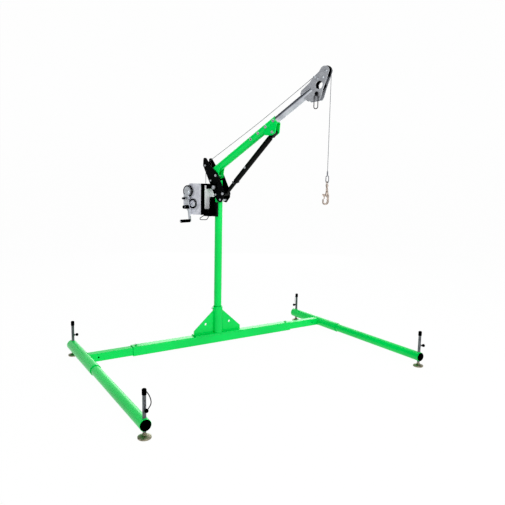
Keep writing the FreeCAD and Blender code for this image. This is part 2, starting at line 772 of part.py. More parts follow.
def drum():
    """Rope drum on its shaft with the wound rope and the driven gear."""
    x, z = drum_axis
    pack = across(x, z, drum_half, 2 * drum_pack_r)
    shaft = rod(Vector(x, -winch_half + cover_wall + hub_play, z), Y,
                winch_half - cover_wall - hub_play + winch_frame_half, drum_shaft_d)
    parts = [pack, shaft]
    for side in (-1, 1):
        y = side * drum_half - (drum_flange if side > 0 else 0)
        parts.append(rod(Vector(x, y, z), Y, drum_flange, 2 * drum_flange_r))
    wheel = toothed(gear_teeth, gear_module(), gear_width, tooth_share)
    mesh = math.degrees(math.atan2(crank_axis[1] - z, crank_axis[0] - x))
    wheel.rotate(Vector(), Z, mesh)
    wheel.Placement = Placement(Vector(x, -winch_frame_half - gear_inset, z), Rotation(X, 90)).multiply(wheel.Placement)
    parts.append(wheel)
    return fuse(*parts)


def pinion_shaft():
    """Crank shaft with the driving pinion inside the near cover."""
    x, z = crank_axis
    shaft = rod(Vector(x, -crank_face, z), Y, crank_face + winch_frame_half, crank_shaft_d)
    wheel = toothed(pinion_teeth, gear_module(), gear_width, tooth_share)
    mesh = math.degrees(math.atan2(drum_axis[1] - z, drum_axis[0] - x))
    wheel.rotate(Vector(), Z, mesh + 180 / pinion_teeth)
    wheel.Placement = Placement(Vector(x, -winch_frame_half - gear_inset, z), Rotation(X, 90)).multiply(wheel.Placement)
    return fuse(shaft, wheel)


def crank_place():
    """Frame of the crank: x down the arm from the shaft, z out to the near side."""
    x, z = crank_axis
    return Placement(Vector(x, -crank_face, z), Rotation(X, 90)).multiply(Placement(Vector(), Rotation(Z, crank_lean - 90)))


def crank_arm():
    """Hub disc, flat arm, folding knuckle, latch knob and the grip's spindle."""
    near = crank_thick + crank_gap
    disc = rod(Vector(), Z, near, 2 * crank_hub_r)
    bar = box(0, crank_length, -crank_width / 2, crank_width / 2, near, near + crank_thick)
    tip = rod(Vector(crank_length, 0, near), Z, crank_thick, crank_width)
    corners = [Vector(x, y, near) for x, y in crank_plate]
    plate = Part.Face(Part.makePolygon(corners + corners[:1])).extrude(Vector(0, 0, crank_thick))
    knuckle = rod(Vector(knuckle_at, 0, near), Z, knuckle_length, knuckle_d)
    knob = rod(Vector(crank_knob_at[0], crank_knob_at[1], near), Z, crank_knob_length, crank_knob_d)
    spindle = rod(Vector(crank_length, 0, near), Z, crank_thick + grip_length, grip_rod_d)
    arm = fuse(disc, bar, tip, plate, knuckle, knob, spindle)
    arm.Placement = crank_place()
    return arm


def crank_grip():
    """Turning grip on the crank's spindle, slightly waisted."""
    start = crank_gap + 2 * crank_thick + hub_play
    bore = grip_rod_d + 2 * grip_play
    r = grip_d / 2
    end = grip_length - grip_edge
    profile = ((bore / 2, 0), (r - grip_edge, 0), (r, grip_edge), (r - grip_waist, grip_length / 2),
               (r, end - 2 * grip_edge), (r - grip_edge, end), (bore / 2, end))
    grip = turned(profile, Vector(crank_length, 0, start), Z)
    grip.Placement = crank_place().multiply(grip.Placement)
    return grip


def winch_bracket():
    """Clamp on the mast with the hanger plate that carries the winch."""
    near = box(mast_clamp_back, mast_clamp_near, -mast_clamp_half, 0, mast_clamp_low, mast_clamp_high)
    far = box(mast_clamp_back, mast_clamp_far, 0, mast_clamp_half, mast_clamp_low, mast_clamp_high)
    front = winch_front + toe_bar_depth + hub_play
    hanger = box(front, mast_clamp_back, -hanger_half, hanger_half, mast_clamp_low, hanger_high)
    hollow = box(front + hanger_wall, mast_clamp_back - hanger_wall, hanger_wall - hanger_half,
                 hanger_half - hanger_wall, mast_clamp_low, hanger_high)
    parts = [near, far, cut(hanger, hollow)]
    for side in (-1, 1):
        y0 = panel_half + winch_tab_gap
        y0, y1 = sorted((side * y0, side * (y0 + winch_tab_thick)))
        parts.append(box(winch_front + frame_wall + hub_play, mast_clamp_back, y0, y1, mast_clamp_low, toe_bar_high))
        y0, y1 = sorted((side * hanger_half, side * (panel_half + winch_tab_gap + winch_tab_thick)))
        parts.append(box(front, mast_clamp_back, y0, y1, mast_clamp_low, toe_bar_high))
    clamp = fuse(*parts)
    return cut(clamp, rod(Vector(0, 0, mast_clamp_low), Z, mast_top, mast_od + 2 * mast_clamp_fit),
               across(winch_pin_at[0], winch_pin_at[1], winch_half, winch_pin_d + 2 * bolt_play))


def winch_pin():
    """Retaining pin with its wire loop."""
    x, z = winch_pin_at
    reach = panel_half + winch_tab_gap + winch_tab_thick + 2
    shank = across(x, z, reach, winch_pin_d)
    head = rod(Vector(x, -reach, z), -Y, winch_pin_d / 2, 2 * winch_pin_d)
    ring = loop("winch_pin", winch_loop, wire_d)
    ring.translate(Vector(x, -reach - winch_pin_d / 4, z))
    return fuse(shank, head, ring)


def arm_tube():
    """Arm with heel lugs on the pivot, adjusting holes and the strut's lugs."""
    bore = boom_od + 2 * boom_play
    parts = [rod(Vector(arm_low, 0, 0), X, arm_end - arm_low, arm_od)]
    for side in (-1, 1):
        lug_out = plate_in - hub_play
        y0, y1 = sorted((side * lug_out, side * (lug_out - heel_lug_thick)))
        web = prism(((-heel_lug_r, 0), (-heel_lug_r, -heel), (heel_lug_r, -heel), (heel_lug_reach, 0)), y0, y1)
        parts.append(fuse(web, rod(Vector(0, y0, -heel), Y, heel_lug_thick, 2 * heel_lug_r)))
        y0, y1 = sorted((side * head_lug_in, side * (head_lug_in + head_lug_thick)))
        parts.append(rounded_prism(head_lug_outline, y0, y1, head_lug_corner, plate_edge))
    holes = [rod(Vector(arm_low - arm_od, 0, 0), X, arm_end - arm_low + 2 * arm_od, bore),
             across(0, -heel, arm_od, pivot_d + 2 * bolt_play),
             across(strut_head[0], strut_head[1], arm_od, pivot_d + 2 * bolt_play)]
    for step in range(adjust_count):
        holes.append(across(adjust_first + step * adjust_pitch, 0, arm_od, adjust_hole_d))
    return cut(fuse(*parts), *holes)


def strut_lower():
    """Inner strut tube with its cross eye on the bracket's pivot."""
    end = strut_step + strut_inner_lap
    eye = across(0, 0, plate_in - hub_play, strut_eye_d)
    tube = rod(Vector(), X, end, strut_inner_od)
    body = fuse(eye, tube)
    return cut(body, across(0, 0, plate_out, pivot_d + 2 * bolt_play),
               rod(Vector(strut_eye_d / 2 + strut_wall, 0, 0), X, end, strut_inner_od - 2 * strut_wall),
               across(strut_pin_at, 0, strut_inner_od, strut_pin_d + 2 * bolt_play))


def strut_upper():
    """Outer strut tube with its eye between the arm's lugs."""
    length = strut_length
    bore = strut_inner_od + 2 * strut_play
    tube = rod(Vector(strut_step, 0, 0), X, length - strut_step - strut_head_eye_d / 4, strut_outer_od)
    neck = box(length - strut_head_eye_d, length, -strut_eye_half, strut_eye_half, -strut_head_eye_d / 2,
               strut_head_eye_d / 2)
    eye = across(length, 0, strut_eye_half, strut_head_eye_d)
    mouth = length - 1.5 * strut_head_eye_d
    trim = box(mouth, length, -strut_outer_od, strut_outer_od, -strut_outer_od, strut_outer_od)
    body = fuse(cut(tube, trim), neck, eye, rod(Vector(mouth, 0, 0), X, strut_head_eye_d / 2, 2 * strut_eye_half))
    return cut(body, rod(Vector(strut_step, 0, 0), X, mouth - strut_step - strut_wall, bore),
               across(length, 0, strut_outer_od, pivot_d + 2 * strut_head_slack),
               rod(Vector(strut_bolt_at, 0, 0), -Y, strut_outer_od, strut_bolt_d + 2 * bolt_play))


def strut_pin():
    """Cross pin under the outer tube's end, with a wire ring through its near end."""
    shank = across(strut_pin_at, 0, strut_pin_half, strut_pin_d)
    head = rod(Vector(strut_pin_at, strut_pin_half, 0), Y, strut_pin_d / 2, 1.6 * strut_pin_d)
    ring = Part.makeTorus(strut_pin_ring_r, strut_pin_wire / 2,
                          Vector(strut_pin_at, -strut_pin_half + strut_pin_wire, -strut_pin_ring_r), X)
    return fuse(shank, head, ring)


def strut_bolt():
    """Clamp screw on the near side of the outer tube."""
    seat = strut_outer_od / 2
    tip = strut_inner_od / 2 + strut_play + clamp_tip_gap
    head = hexagon(Vector(strut_bolt_at, -seat, 0), -Y, strut_bolt_d * bolt_flats_ratio, strut_bolt_d)
    shank = rod(Vector(strut_bolt_at, -tip, 0), -Y, seat + strut_bolt_d / 2 - tip, strut_bolt_d)
    return fuse(head, shank)


def arm_head_bolt():
    """Bolt of the strut's upper pivot, through the arm's lugs."""
    outer = head_lug_in + head_lug_thick
    return through_bolt(strut_head[0], strut_head[1], pivot_d, pivot_d * bolt_flats_ratio, outer)


def boom_tube():
    return pipe(Vector(boom_inner_end, 0, 0), X, boom_end - boom_inner_end, boom_od, boom_od - 2 * boom_wall)


def head_plate(side):
    """Head side plate, forked round the boom's flank."""
    y0, y1 = sorted((side * head_in, side * (head_in + head_thick)))
    plate = rounded_prism(head_outline, y0, y1, head_corner, plate_edge)
    rear = head_outline[0][0] - boom_od
    notch = box(rear, boom_end + bolt_play, y0, y1, -notch_half, notch_half)
    holes = [across(x, h, 2 * head_in, head_bolt_d + 2 * bolt_play) for x, h in head_bolts_at]
    holes.append(across(sheave_at[0], sheave_at[1], 2 * head_in, bolt_d + 2 * bolt_play))
    holes.append(across(head_pin_at[0], head_pin_at[1], 2 * head_in, head_pin_d + 2 * bolt_play))
    holes.append(across(head_hole_at[0], head_hole_at[1], 2 * head_in, head_hole_d))
    return cut(plate, notch, *holes)


def head_bolts():
    """Spacer bolts between the head plates and the sheave's axle."""
    outer = head_in + head_thick
    bolts = []
    for x, h in head_bolts_at:
        spacer = across(x, h, head_in, head_bolt_d * bolt_flats_ratio)
        bolts.append(fuse(through_bolt(x, h, head_bolt_d, head_bolt_d * bolt_flats_ratio, outer), spacer))
    bolts.append(through_bolt(sheave_at[0], sheave_at[1], bolt_d, bolt_d * bolt_flats_ratio, outer))
    return bolts


def head_sheave():
    wheel = grooved(sheave_r, sheave_rim, sheave_width, sheave_hub_d, head_in - hub_play, bolt_d + 2 * bolt_play)
    return aim(wheel, Vector(sheave_at[0], 0, sheave_at[1]), Y)


def head_pin():
    """Detent pin through the head plates, with a ring and a hanging wire loop."""
    outer = head_in + head_thick
    spot = arm_place.multVec(Vector(head_pin_at[0], 0, head_pin_at[1]))
    shank = rod(Vector(spot.x, -outer - head_pin_out, spot.z), Y, 2 * (outer + head_pin_out), head_pin_d)
    face = -outer - head_pin_out
    ring = Part.makeTorus(head_ring_r, wire_d / 2, Vector(spot.x, face, spot.z), Y)
    bridge = rod(Vector(spot.x, face - wire_d / 2, spot.z), Y, wire_d, 2 * head_ring_r)
    hanging = frame_loop("head_pin", spot.x, spot.z - head_loop_drop, spot.z - head_ring_r, head_loop_half, wire_d)
    hanging.translate(Vector(0, face - wire_d / 3, 0))
    return fuse(shank, ring, bridge, hanging)


def around(centre, radius, angle):
    return centre + Vector(math.cos(angle), 0, math.sin(angle)) * radius


def span_points():
    """Five points of the sagging span, from the rear pulley to the head sheave."""
    rear = Vector(pulley_centre[0], 0, pulley_centre[1])
    reach = sheave_centre.sub(rear)
    slope = math.atan2(reach.z, reach.x) + math.asin((sheave_r - pulley_r) / reach.Length)
    dip = 4 * span_sag / reach.Length
    first = around(rear, pulley_r, slope - dip + math.pi / 2)
    last = around(sheave_centre, sheave_r, slope + dip + math.pi / 2)
    points = []
    for step in range(5):
        t = step / 4
        points.append(first + (last - first) * t - Z * (4 * span_sag * t * (1 - t)))
    return points


def wrap(centre, radius, start, end):
    """Arc round a pulley between two points on it, by the way over its top."""
    crown = (start.sub(centre) + end.sub(centre)).normalize() * radius
    return Part.Arc(start, centre + crown, end).toShape()


def cable_riser():
    """Rope from the drum straight up and over the rear pulley."""
    rear = Vector(pulley_centre[0], 0, pulley_centre[1])
    foot = Vector(rear.x - pulley_r, 0, drum_axis[1])
    turn = Vector(rear.x - pulley_r, 0, rear.z)
    return along([Part.LineSegment(foot, turn).toShape(), wrap(rear, pulley_r, turn, span_points()[0])], rope_d)


def cable_span_lower():
    """Lower half of the span between the pulleys, as one flat arc."""
    a, b, c = span_points()[:3]
    return along([Part.Arc(a, b, c).toShape()], rope_d)


def cable_span_upper():
    """Upper half of the span, and the rope's turn over the head sheave."""
    a, b, c = span_points()[2:]
    down = Vector(drop_x, 0, sheave_centre.z)
    return along([Part.Arc(a, b, c).toShape(), wrap(sheave_centre, sheave_r, c, down)], rope_d)


def cable_drop():
    """Rope hanging from the head sheave to the ferrule of its eye."""
    return rod(Vector(drop_x, 0, ferrule_top), Z, sheave_centre.z - rope_gap - ferrule_top, rope_d)


def hook_eye():
    """Pressed ferrule and the thimble eye of the rope."""
    ferrule = rod(Vector(drop_x, 0, ferrule_low), Z, ferrule_top - ferrule_low, ferrule_d)
    return fuse(ferrule, frame_loop("hook_eye", drop_x, thimble_low, thimble_top, thimble_half, thimble_wire))


def bail_centre():
    return thimble_low + (thimble_wire + bail_wire) / 2 + rope_gap - bail_r


def collar_low():
    return bail_centre() - bail_r - collar_height


def swivel_bail():
    """Ring through the eye, with the collar that the hook turns in."""
    ring = Part.makeTorus(bail_r, bail_wire / 2, Vector(drop_x, 0, bail_centre()), X)
    collar = rod(Vector(drop_x, 0, collar_low()), Z, collar_height, collar_d)
    bore = rod(Vector(drop_x, 0, collar_low() - 1), Z, collar_height / 2 + 1, hook_neck_d + 2 * swivel_gap)
    return cut(fuse(ring, collar), bore)


def hook_place():
    """The hook hangs turned from straight ahead, its mouth towards the left leg."""
    return Placement(Vector(drop_x, 0, collar_low()), Rotation(Z, hook_turn - swing))


def hook_body():
    """Snap hook: neck in the collar, spine, round bowl, and cheeks with the gate's pin."""
    half = hook_thick / 2
    neck = rod(Vector(0, 0, -hook_neck), Z, hook_neck + collar_height / 2 - swivel_gap, hook_neck_d)
    slot_half = gate_thick / 2 + gate_play
    slot = box(-hook_total, gate_pivot[0] + gate_eye_r + gate_play, -slot_half, slot_half,
               gate_pivot[1] - hook_thick, gate_pivot[1] + hook_thick)
    body = cut(fuse(neck, rounded_prism(hook_outline, -half, half, hook_corner, hook_edge)), slot)
    return fuse(body, across(gate_pivot[0], gate_pivot[1], half, gate_pin_d))


def hook_gate():
    """Spring gate that closes the mouth, with its thumb tab."""
    half = gate_thick / 2
    blade = fuse(prism(gate_outline, -half, half), across(gate_pivot[0], gate_pivot[1], half, 2 * gate_eye_r))
    return cut(blade, across(gate_pivot[0], gate_pivot[1], hook_thick, gate_pin_d + 2 * bolt_play))


def main():
    os.makedirs("parts", exist_ok=True)
    save("main_beam", base_place, main_beam())
    save("sleeve_bush", base_place, sleeve_bush())
    save("clamp_bolts", base_place, *clamp_bolts())
    for word, side in (("left", -1), ("right", 1)):
        save(word + "_tee", base_place, tee(side))
        save(word + "_leg", base_place, leg(side))
        save(word + "_leg_cap", base_place, leg_cap(side))
    for word, x, side, way in jacks():
        y = side * track_half
        save(word + "_jack_tube", base_place, jack_tube(x, y, way))
        save(word + "_jack_cap", base_place, jack_cap(x, y))
        save(word + "_jack_foot", base_place, jack_foot(x, y, way))
        save(word + "_jack_pin", base_place, jack_pin(x, y, way))
        if word == "lf":
            save("lf_lanyard", base_place, lanyard("lf_lanyard", x, y, lf_lanyard_route, lf_lanyard_d))
        if word == "rr":
            save("rr_lanyard", base_place, lanyard("rr_lanyard", x, y, rr_lanyard_route, rr_lanyard_d))
    save("mast_tube", upper_place, mast_tube())
    save("bracket_plates", upper_place, bracket_plate(-1), bracket_plate(1))
    save("bracket_bolts", upper_place, *bracket_bolts())
    save("rear_pulley", upper_place, rear_pulley())
    save("winch_bracket", upper_place, winch_bracket())
    save("winch_pin", upper_place, winch_pin())
    save("winch_frame", upper_place, winch_frame())
    save("winch_cover_near", upper_place, winch_cover(-1))
    save("winch_cover_far", upper_place, winch_cover(1))
    save("winch_front_panel", upper_place, winch_front_panel())
    save("drum", upper_place, drum())
    save("pinion_shaft", upper_place, pinion_shaft())
    save("crank_arm", upper_place, crank_arm())
    save("crank_grip", upper_place, crank_grip())
    on_arm = upper_place.multiply(arm_place)
    on_strut = upper_place.multiply(strut_place)
    save("arm_tube", on_arm, arm_tube())
    save("arm_head_bolt", on_arm, arm_head_bolt())
    save("strut_lower", on_strut, strut_lower())
    save("strut_upper", on_strut, strut_upper())
    save("strut_pin", on_strut, strut_pin())
    save("strut_bolt", on_strut, strut_bolt())
    save("boom_tube", on_arm, boom_tube())
    save("head_plates", on_arm, head_plate(-1), head_plate(1))
    save("head_bolts", on_arm, *head_bolts())
    save("head_sheave", on_arm, head_sheave())
    save("head_pin", upper_place, head_pin())
    save("cable_riser", upper_place, cable_riser())
    save("cable_span_lower", upper_place, cable_span_lower())
    save("cable_span_upper", upper_place, cable_span_upper())
    save("cable_drop", upper_place, cable_drop())
    save("hook_eye", upper_place, hook_eye())
    save("swivel_bail", upper_place, swivel_bail())
    on_hook = upper_place.multiply(hook_place())
    save("hook", on_hook, hook_body())
    save("hook_gate", on_hook, hook_gate())


def jacks():
    """Name, place, side and pin direction of each levelling jack."""
    slant = Rotation(Z, rf_pin_turn).multVec(X)
    return (("lf", jack_front_x, -1, X), ("lr", jack_rear_x, -1, Y), ("rf", jack_front_x, 1, slant),
            ("rr", jack_rear_x, 1, -Y))


if __name__ == "__main__":
    main()
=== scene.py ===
import logging
import math
from dataclasses import dataclass
from enum import Enum

import bmesh
import bpy
from mathutils import Matrix, Vector


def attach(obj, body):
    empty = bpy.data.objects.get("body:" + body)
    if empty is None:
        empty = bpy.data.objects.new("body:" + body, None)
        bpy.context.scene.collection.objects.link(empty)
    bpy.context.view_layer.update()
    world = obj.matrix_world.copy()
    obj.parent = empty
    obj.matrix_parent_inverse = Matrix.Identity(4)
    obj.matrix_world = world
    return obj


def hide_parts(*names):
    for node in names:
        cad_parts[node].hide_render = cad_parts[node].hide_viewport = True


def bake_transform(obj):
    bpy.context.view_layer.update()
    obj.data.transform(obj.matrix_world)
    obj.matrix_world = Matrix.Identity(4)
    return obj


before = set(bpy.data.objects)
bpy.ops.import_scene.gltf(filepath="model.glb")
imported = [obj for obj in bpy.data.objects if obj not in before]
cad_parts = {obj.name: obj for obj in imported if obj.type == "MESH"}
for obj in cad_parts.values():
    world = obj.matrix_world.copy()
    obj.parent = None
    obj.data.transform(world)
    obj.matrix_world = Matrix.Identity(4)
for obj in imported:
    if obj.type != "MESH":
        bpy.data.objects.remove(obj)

LOG = logging.getLogger("davit_crane")
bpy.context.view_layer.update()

Pair = tuple[float, float]
Triple = tuple[float, float, float]
Profile = tuple[Pair, ...]
Route = tuple[Pair, ...]

# Place of the mast's axis along the base, in metres.
MAST_X = -0.53275
# Turn of the arm about the mast and its rise, in degrees.
SWING = 20.0
RISE = 31.8
# The arm's pivot in the arm's upright plane, from the mast's axis and the floor, in millimetres.
ARM_PIVOT = (-35.833, 1818.793)
# The base, in millimetres: mast to each leg, height of the tubes, tube radii and the jacks' places.
TRACK = 1360.0
TUBE_HEIGHT = 96.0
LEG_R = 41.25
TEE_R = 47.55
FRONT_JACK_X = 1476.0
REAR_JACK_X = -416.0

# Where on the broad noise a finish has its shade and its full colour.
SHADE_AT, COLOUR_AT = 0.3, 0.62
# How far a rounded edge has turned where its paler colour starts and is full, and the most it covers; the paler
# edge is partly a thinner coat and partly a painted highlight.
WEAR_AND_SHEEN_START, WEAR_AND_SHEEN_FULL, WEAR_AND_SHEEN_SHARE = 0.97, 0.82, 0.6
# Range of the fine noise that runs from a finish's smoothest to its roughest.
FINE_LOW, FINE_HIGH = 0.3, 0.7
FINE_DETAIL, FINE_ROUGHNESS, BROAD_DETAIL = 4.0, 0.55, 5.0
EDGE_SAMPLES = 4
BUMP_STRENGTH = 0.35
COAT_ROUGHNESS = 0.14
WHITE = (1.0, 1.0, 1.0, 1.0)

# Faces that meet at more than this are shaded as a sharp edge.
SHARP = math.radians(40)
ROUTE_STEPS = 24
# Share of a turned section's rim beyond which grip grooves are cut.
FLUTED_FROM = 0.8
# A weld bead: spacing, ripple and end as shares of its radius, turn of the ripple, corners.
BEAD_STEP, BEAD_RIPPLE, BEAD_END = 0.8, 0.14, 0.5
RIPPLE_TURN = 2.1
BEAD_SIDES = 10


def linear(code: str) -> tuple[float, float, float, float]:
    """Turn an sRGB hex value into a linear colour.

    Args:
        code: Six hex digits after a hash sign.

    Returns:
        Linear red, green and blue, with full alpha.
    """
    parts = [int(code[i:i + 2], 16) / 255 for i in (1, 3, 5)]
    red, green, blue = (c / 12.92 if c <= 0.04045 else ((c + 0.055) / 1.055) ** 2.4 for c in parts)
    return red, green, blue, 1.0


def add(tree: bpy.types.NodeTree, kind: str, settings: dict, links: dict) -> bpy.types.Node:
    """Add a node, set its values and link its inputs.

    Args:
        tree: The material's node tree.
        kind: Blender's name of the node's type.
        settings: Input names or numbers, or property names, to values.
        links: Input names or numbers to the sockets that feed them.

    Returns:
        The new node.
    """
    node = tree.nodes.new(kind)
    for key, value in settings.items():
        if isinstance(key, int) or key in node.inputs:
            node.inputs[key].default_value = value
        else:
            setattr(node, key, value)
    for key, socket in links.items():
        tree.links.new(socket, node.inputs[key])
    return node


class Grain(Enum):
    """How a surface's fine pattern lies."""

    EVEN = (1.0, 1.0, 1.0)
    DRAWN = (0.02, 1.0, 1.0)
    LAID = (1.0, 1.0, 0.25)


class Plane(Enum):
    """Swing and rise of the tubes that a drawn grain follows, in degrees."""

    BASE = (0.0, 0.0)
    ARM = (SWING, RISE)
    UPPER = (SWING, 0.0)


@dataclass(frozen=True)
class Finish:
    """A surface: its colours, gloss and the fine pattern that shows up close."""

    name: str
    slot: str
    colour: str
    shade: str
    # Paler colour along rounded edges: partly a thinner coat or plate, partly a painted highlight.
    edge: str
    metallic: float
    smooth: float
    rough: float
    grain_mm: float
    depth_mm: float
    grain: Grain = Grain.EVEN
    plane: Plane = Plane.BASE
    gleam: float = 0.5
    coat: float = 0.0
    patch_mm: float = 120.0
    glow: float = 0.0
    rounding_mm: float = 1.2

    def material(self) -> bpy.types.Material:
        """Make the material, or give the one made before.

        Returns:
            The material of this finish.
        """
        found = bpy.data.materials.get(self.name)
        if found:
            return found
        made = bpy.data.materials.new(self.name)
        made.use_nodes = True
        tree = made.node_tree
        tree.nodes.clear()
        spot = add(tree, "ShaderNodeTexCoord", {}, {})
        swing, rise = (math.radians(a) for a in self.plane.value)
        level = add(tree, "ShaderNodeMapping", {"Rotation": (0.0, 0.0, -swing)},
                    {"Vector": spot.outputs["Object"]})
        lying = add(tree, "ShaderNodeMapping", {"Rotation": (0.0, rise, 0.0)},
                    {"Vector": level.outputs["Vector"]})
        drawn = add(tree, "ShaderNodeMapping", {"Scale": self.grain.value},
                    {"Vector": lying.outputs["Vector"]})
        fine = add(tree, "ShaderNodeTexNoise",
                   {"Scale": 1000 / self.grain_mm, "Detail": FINE_DETAIL, "Roughness": FINE_ROUGHNESS},
                   {"Vector": drawn.outputs["Vector"]})
        broad = add(tree, "ShaderNodeTexNoise", {"Scale": 1000 / self.patch_mm, "Detail": BROAD_DETAIL},
                    {"Vector": lying.outputs["Vector"]})
        ramp = add(tree, "ShaderNodeValToRGB", {}, {"Fac": broad.outputs["Fac"]})
        low, high = ramp.color_ramp.elements
        low.position, low.color = SHADE_AT, linear(self.shade)
        high.position, high.color = COLOUR_AT, linear(self.colour)
        # Edges are seen rounded, and a paler colour is mixed in along them: partly the coat or plate thinner
        # there, partly a painted highlight.
        rounded = add(tree, "ShaderNodeBevel",
                      {"samples": EDGE_SAMPLES, "Radius": self.rounding_mm / 1000}, {})
        plain = add(tree, "ShaderNodeNewGeometry", {}, {})
        turn = add(tree, "ShaderNodeVectorMath", {"operation": "DOT_PRODUCT"},
                   {0: rounded.outputs["Normal"], 1: plain.outputs["Normal"]})
        wear_and_sheen = add(tree, "ShaderNodeMapRange",
                   {"From Min": WEAR_AND_SHEEN_START, "From Max": WEAR_AND_SHEEN_FULL, "To Min": 0.0, "To Max": WEAR_AND_SHEEN_SHARE},
                   {"Value": turn.outputs["Value"]})
        colour = add(tree, "ShaderNodeMix", {"data_type": "RGBA", 7: linear(self.edge)},
                     {0: wear_and_sheen.outputs["Result"], 6: ramp.outputs["Color"]})
        gloss = add(tree, "ShaderNodeMapRange",
                    {"From Min": FINE_LOW, "From Max": FINE_HIGH, "To Min": self.smooth, "To Max": self.rough},
                    {"Value": fine.outputs["Fac"]})
        relief = add(tree, "ShaderNodeBump",
                     {"Strength": BUMP_STRENGTH, "Distance": self.depth_mm / 1000},
                     {"Height": fine.outputs["Fac"], "Normal": rounded.outputs["Normal"]})
        body = add(tree, "ShaderNodeBsdfPrincipled",
                   {"Metallic": self.metallic, "Specular IOR Level": self.gleam, "Coat Weight": self.coat,
                    "Coat Roughness": COAT_ROUGHNESS, "Emission Color": WHITE, "Emission Strength": self.glow},
                   {"Base Color": colour.outputs[2], "Roughness": gloss.outputs["Result"],
                    "Normal": relief.outputs["Normal"]})
        add(tree, "ShaderNodeOutputMaterial", {}, {"Surface": body.outputs["BSDF"]})
        return made


# Polyester powder coat on tube: an even colour, a soft gloss, and a faint orange peel about 2 mm across.
GREEN_COAT = Finish(
    "polyester_coat_green", "green_powder_coat", colour="#04DA64", shade="#03CC5C", edge="#48EC90",
    metallic=0.0, smooth=0.26, rough=0.36, grain_mm=2.2, depth_mm=0.1, gleam=0.35, coat=0.25, patch_mm=400.0)
# The same coat in black on plates, strut and winch frame, a little more matt.
BLACK_COAT = Finish(
    "polyester_coat_black", "black_powder_coat", colour="#060607", shade="#040404", edge="#1E1F21",
    metallic=0.0, smooth=0.36, rough=0.52, grain_mm=2.2, depth_mm=0.12, gleam=0.4)
# Bright zinc plate on turned bolts and pressed steel: cool, mirror-like, softened by a faint crystal pattern.
BRIGHT_ZINC = Finish(
    "bright_zinc_plate", "zinc_plate", colour="#DCDFE2", shade="#BEC2C6", edge="#F0F1F2",
    metallic=0.9, smooth=0.24, rough=0.42, grain_mm=1.6, depth_mm=0.05, patch_mm=25.0)
# Zinc-plated drawn steel tube of the jacks: darker than the bolts, with faint lines along the tube.
PLATED_TUBE = Finish(
    "zinc_plated_drawn_tube", "zinc_plate", colour="#7E8184", shade="#5E6164", edge="#B4B6B8",
    metallic=1.0, smooth=0.18, rough=0.36, grain_mm=1.4, depth_mm=0.06, grain=Grain.LAID, patch_mm=40.0)
# Yellow passivated zinc on the pressed pads: dull, faded to a greyish olive.
YELLOW_ZINC = Finish(
    "yellow_passivated_zinc", "yellow_zinc", colour="#ABA794", shade="#858271", edge="#CBC8B4",
    metallic=0.9, smooth=0.3, rough=0.5, grain_mm=1.6, depth_mm=0.08, patch_mm=20.0)
# Drawn aluminium tube: bright, with fine lines along the boom.
DRAWN_ALUMINIUM = Finish(
    "drawn_aluminium", "satin_aluminium", colour="#D6D9DE", shade="#B8BBC2", edge="#E6E8EB",
    metallic=1.0, smooth=0.12, rough=0.24, grain_mm=0.9, depth_mm=0.05, grain=Grain.DRAWN, plane=Plane.ARM,
    patch_mm=90.0)
# Rolled and sawn aluminium plate of the head: duller than the tube.
ROLLED_ALUMINIUM = Finish(
    "rolled_aluminium_plate", "satin_aluminium", colour="#CFD1D5", shade="#B8BABF", edge="#EAEBEC",
    metallic=0.8, smooth=0.4, rough=0.47, grain_mm=2.4, depth_mm=0.01, grain=Grain.DRAWN, plane=Plane.ARM,
    patch_mm=60.0)
# Die-cast aluminium covers: pale, cool grey with a fine cast skin.
CAST_ALUMINIUM = Finish(
    "cast_aluminium", "satin_aluminium", colour="#E9EAF0", shade="#CFD0D9", edge="#F6F6F8",
    metallic=0.6, smooth=0.32, rough=0.5, grain_mm=1.8, depth_mm=0.18, plane=Plane.UPPER, patch_mm=60.0)
# Bright anodised sheet of the winch's front panel: paler and smoother than the castings.
ANODISED_SHEET = Finish(
    "anodised_sheet", "satin_aluminium", colour="#FBFBFD", shade="#F0F1F5", edge="#FDFDFE",
    metallic=0.1, smooth=0.3, rough=0.42, grain_mm=1.2, depth_mm=0.04, plane=Plane.UPPER, patch_mm=80.0)
# Injection-moulded polyamide: near black, with a fine spark-eroded grain.
MOULDED_BLACK = Finish(
    "moulded_polyamide", "black_plastic", colour="#070708", shade="#040405", edge="#222224",
    metallic=0.0, smooth=0.42, rough=0.6, grain_mm=1.2, depth_mm=0.1, gleam=0.07, patch_mm=30.0)
# Machined cast nylon of the sheaves: black and slightly waxy.
TURNED_NYLON = Finish(
    "turned_nylon", "black_nylon", colour="#131416", shade="#0B0B0D", edge="#333438",
    metallic=0.0, smooth=0.3, rough=0.45, grain_mm=1.0, depth_mm=0.06, gleam=0.4, patch_mm=30.0)
# Galvanised steel wire: matt grey with darker oil between the strands.
GALVANISED_WIRE = Finish(
    "stranded_zinc_wire", "galvanised_wire", colour="#8E9094", shade="#6E7074", edge="#AAACB0",
    metallic=0.3, smooth=0.5, rough=0.7, grain_mm=0.9, depth_mm=0.1, patch_mm=12.0, rounding_mm=0.3)
# Plastic-coated wire of the pins' loops: black, smooth.
COATED_WIRE = Finish(
    "coated_wire", "dark_wire", colour="#1A1A1C", shade="#0E0E0F", edge="#3A3A3C",
    metallic=0.0, smooth=0.35, rough=0.5, grain_mm=1.0, depth_mm=0.05, gleam=0.4, patch_mm=20.0, rounding_mm=0.5)
# Braided polyester cord: black, dry, with a visible plait.
BRAIDED_CORD = Finish(
    "braided_cord", "black_cord", colour="#1B1B1C", shade="#0A0A0B", edge="#2C2C2D",
    metallic=0.0, smooth=0.75, rough=0.95, grain_mm=1.6, depth_mm=0.4, grain=Grain.LAID, gleam=0.2, patch_mm=6.0,
    rounding_mm=0.3)
# Forged steel hook with a bronze-tinted passivated zinc skin: warm and softly bright.
BRONZED_STEEL = Finish(
    "forged_bronzed_steel", "bronzed_steel", colour="#BDB1A8", shade="#968B83", edge="#DCD3CB",
    metallic=0.85, smooth=0.28, rough=0.44, grain_mm=1.5, depth_mm=0.1, patch_mm=18.0)
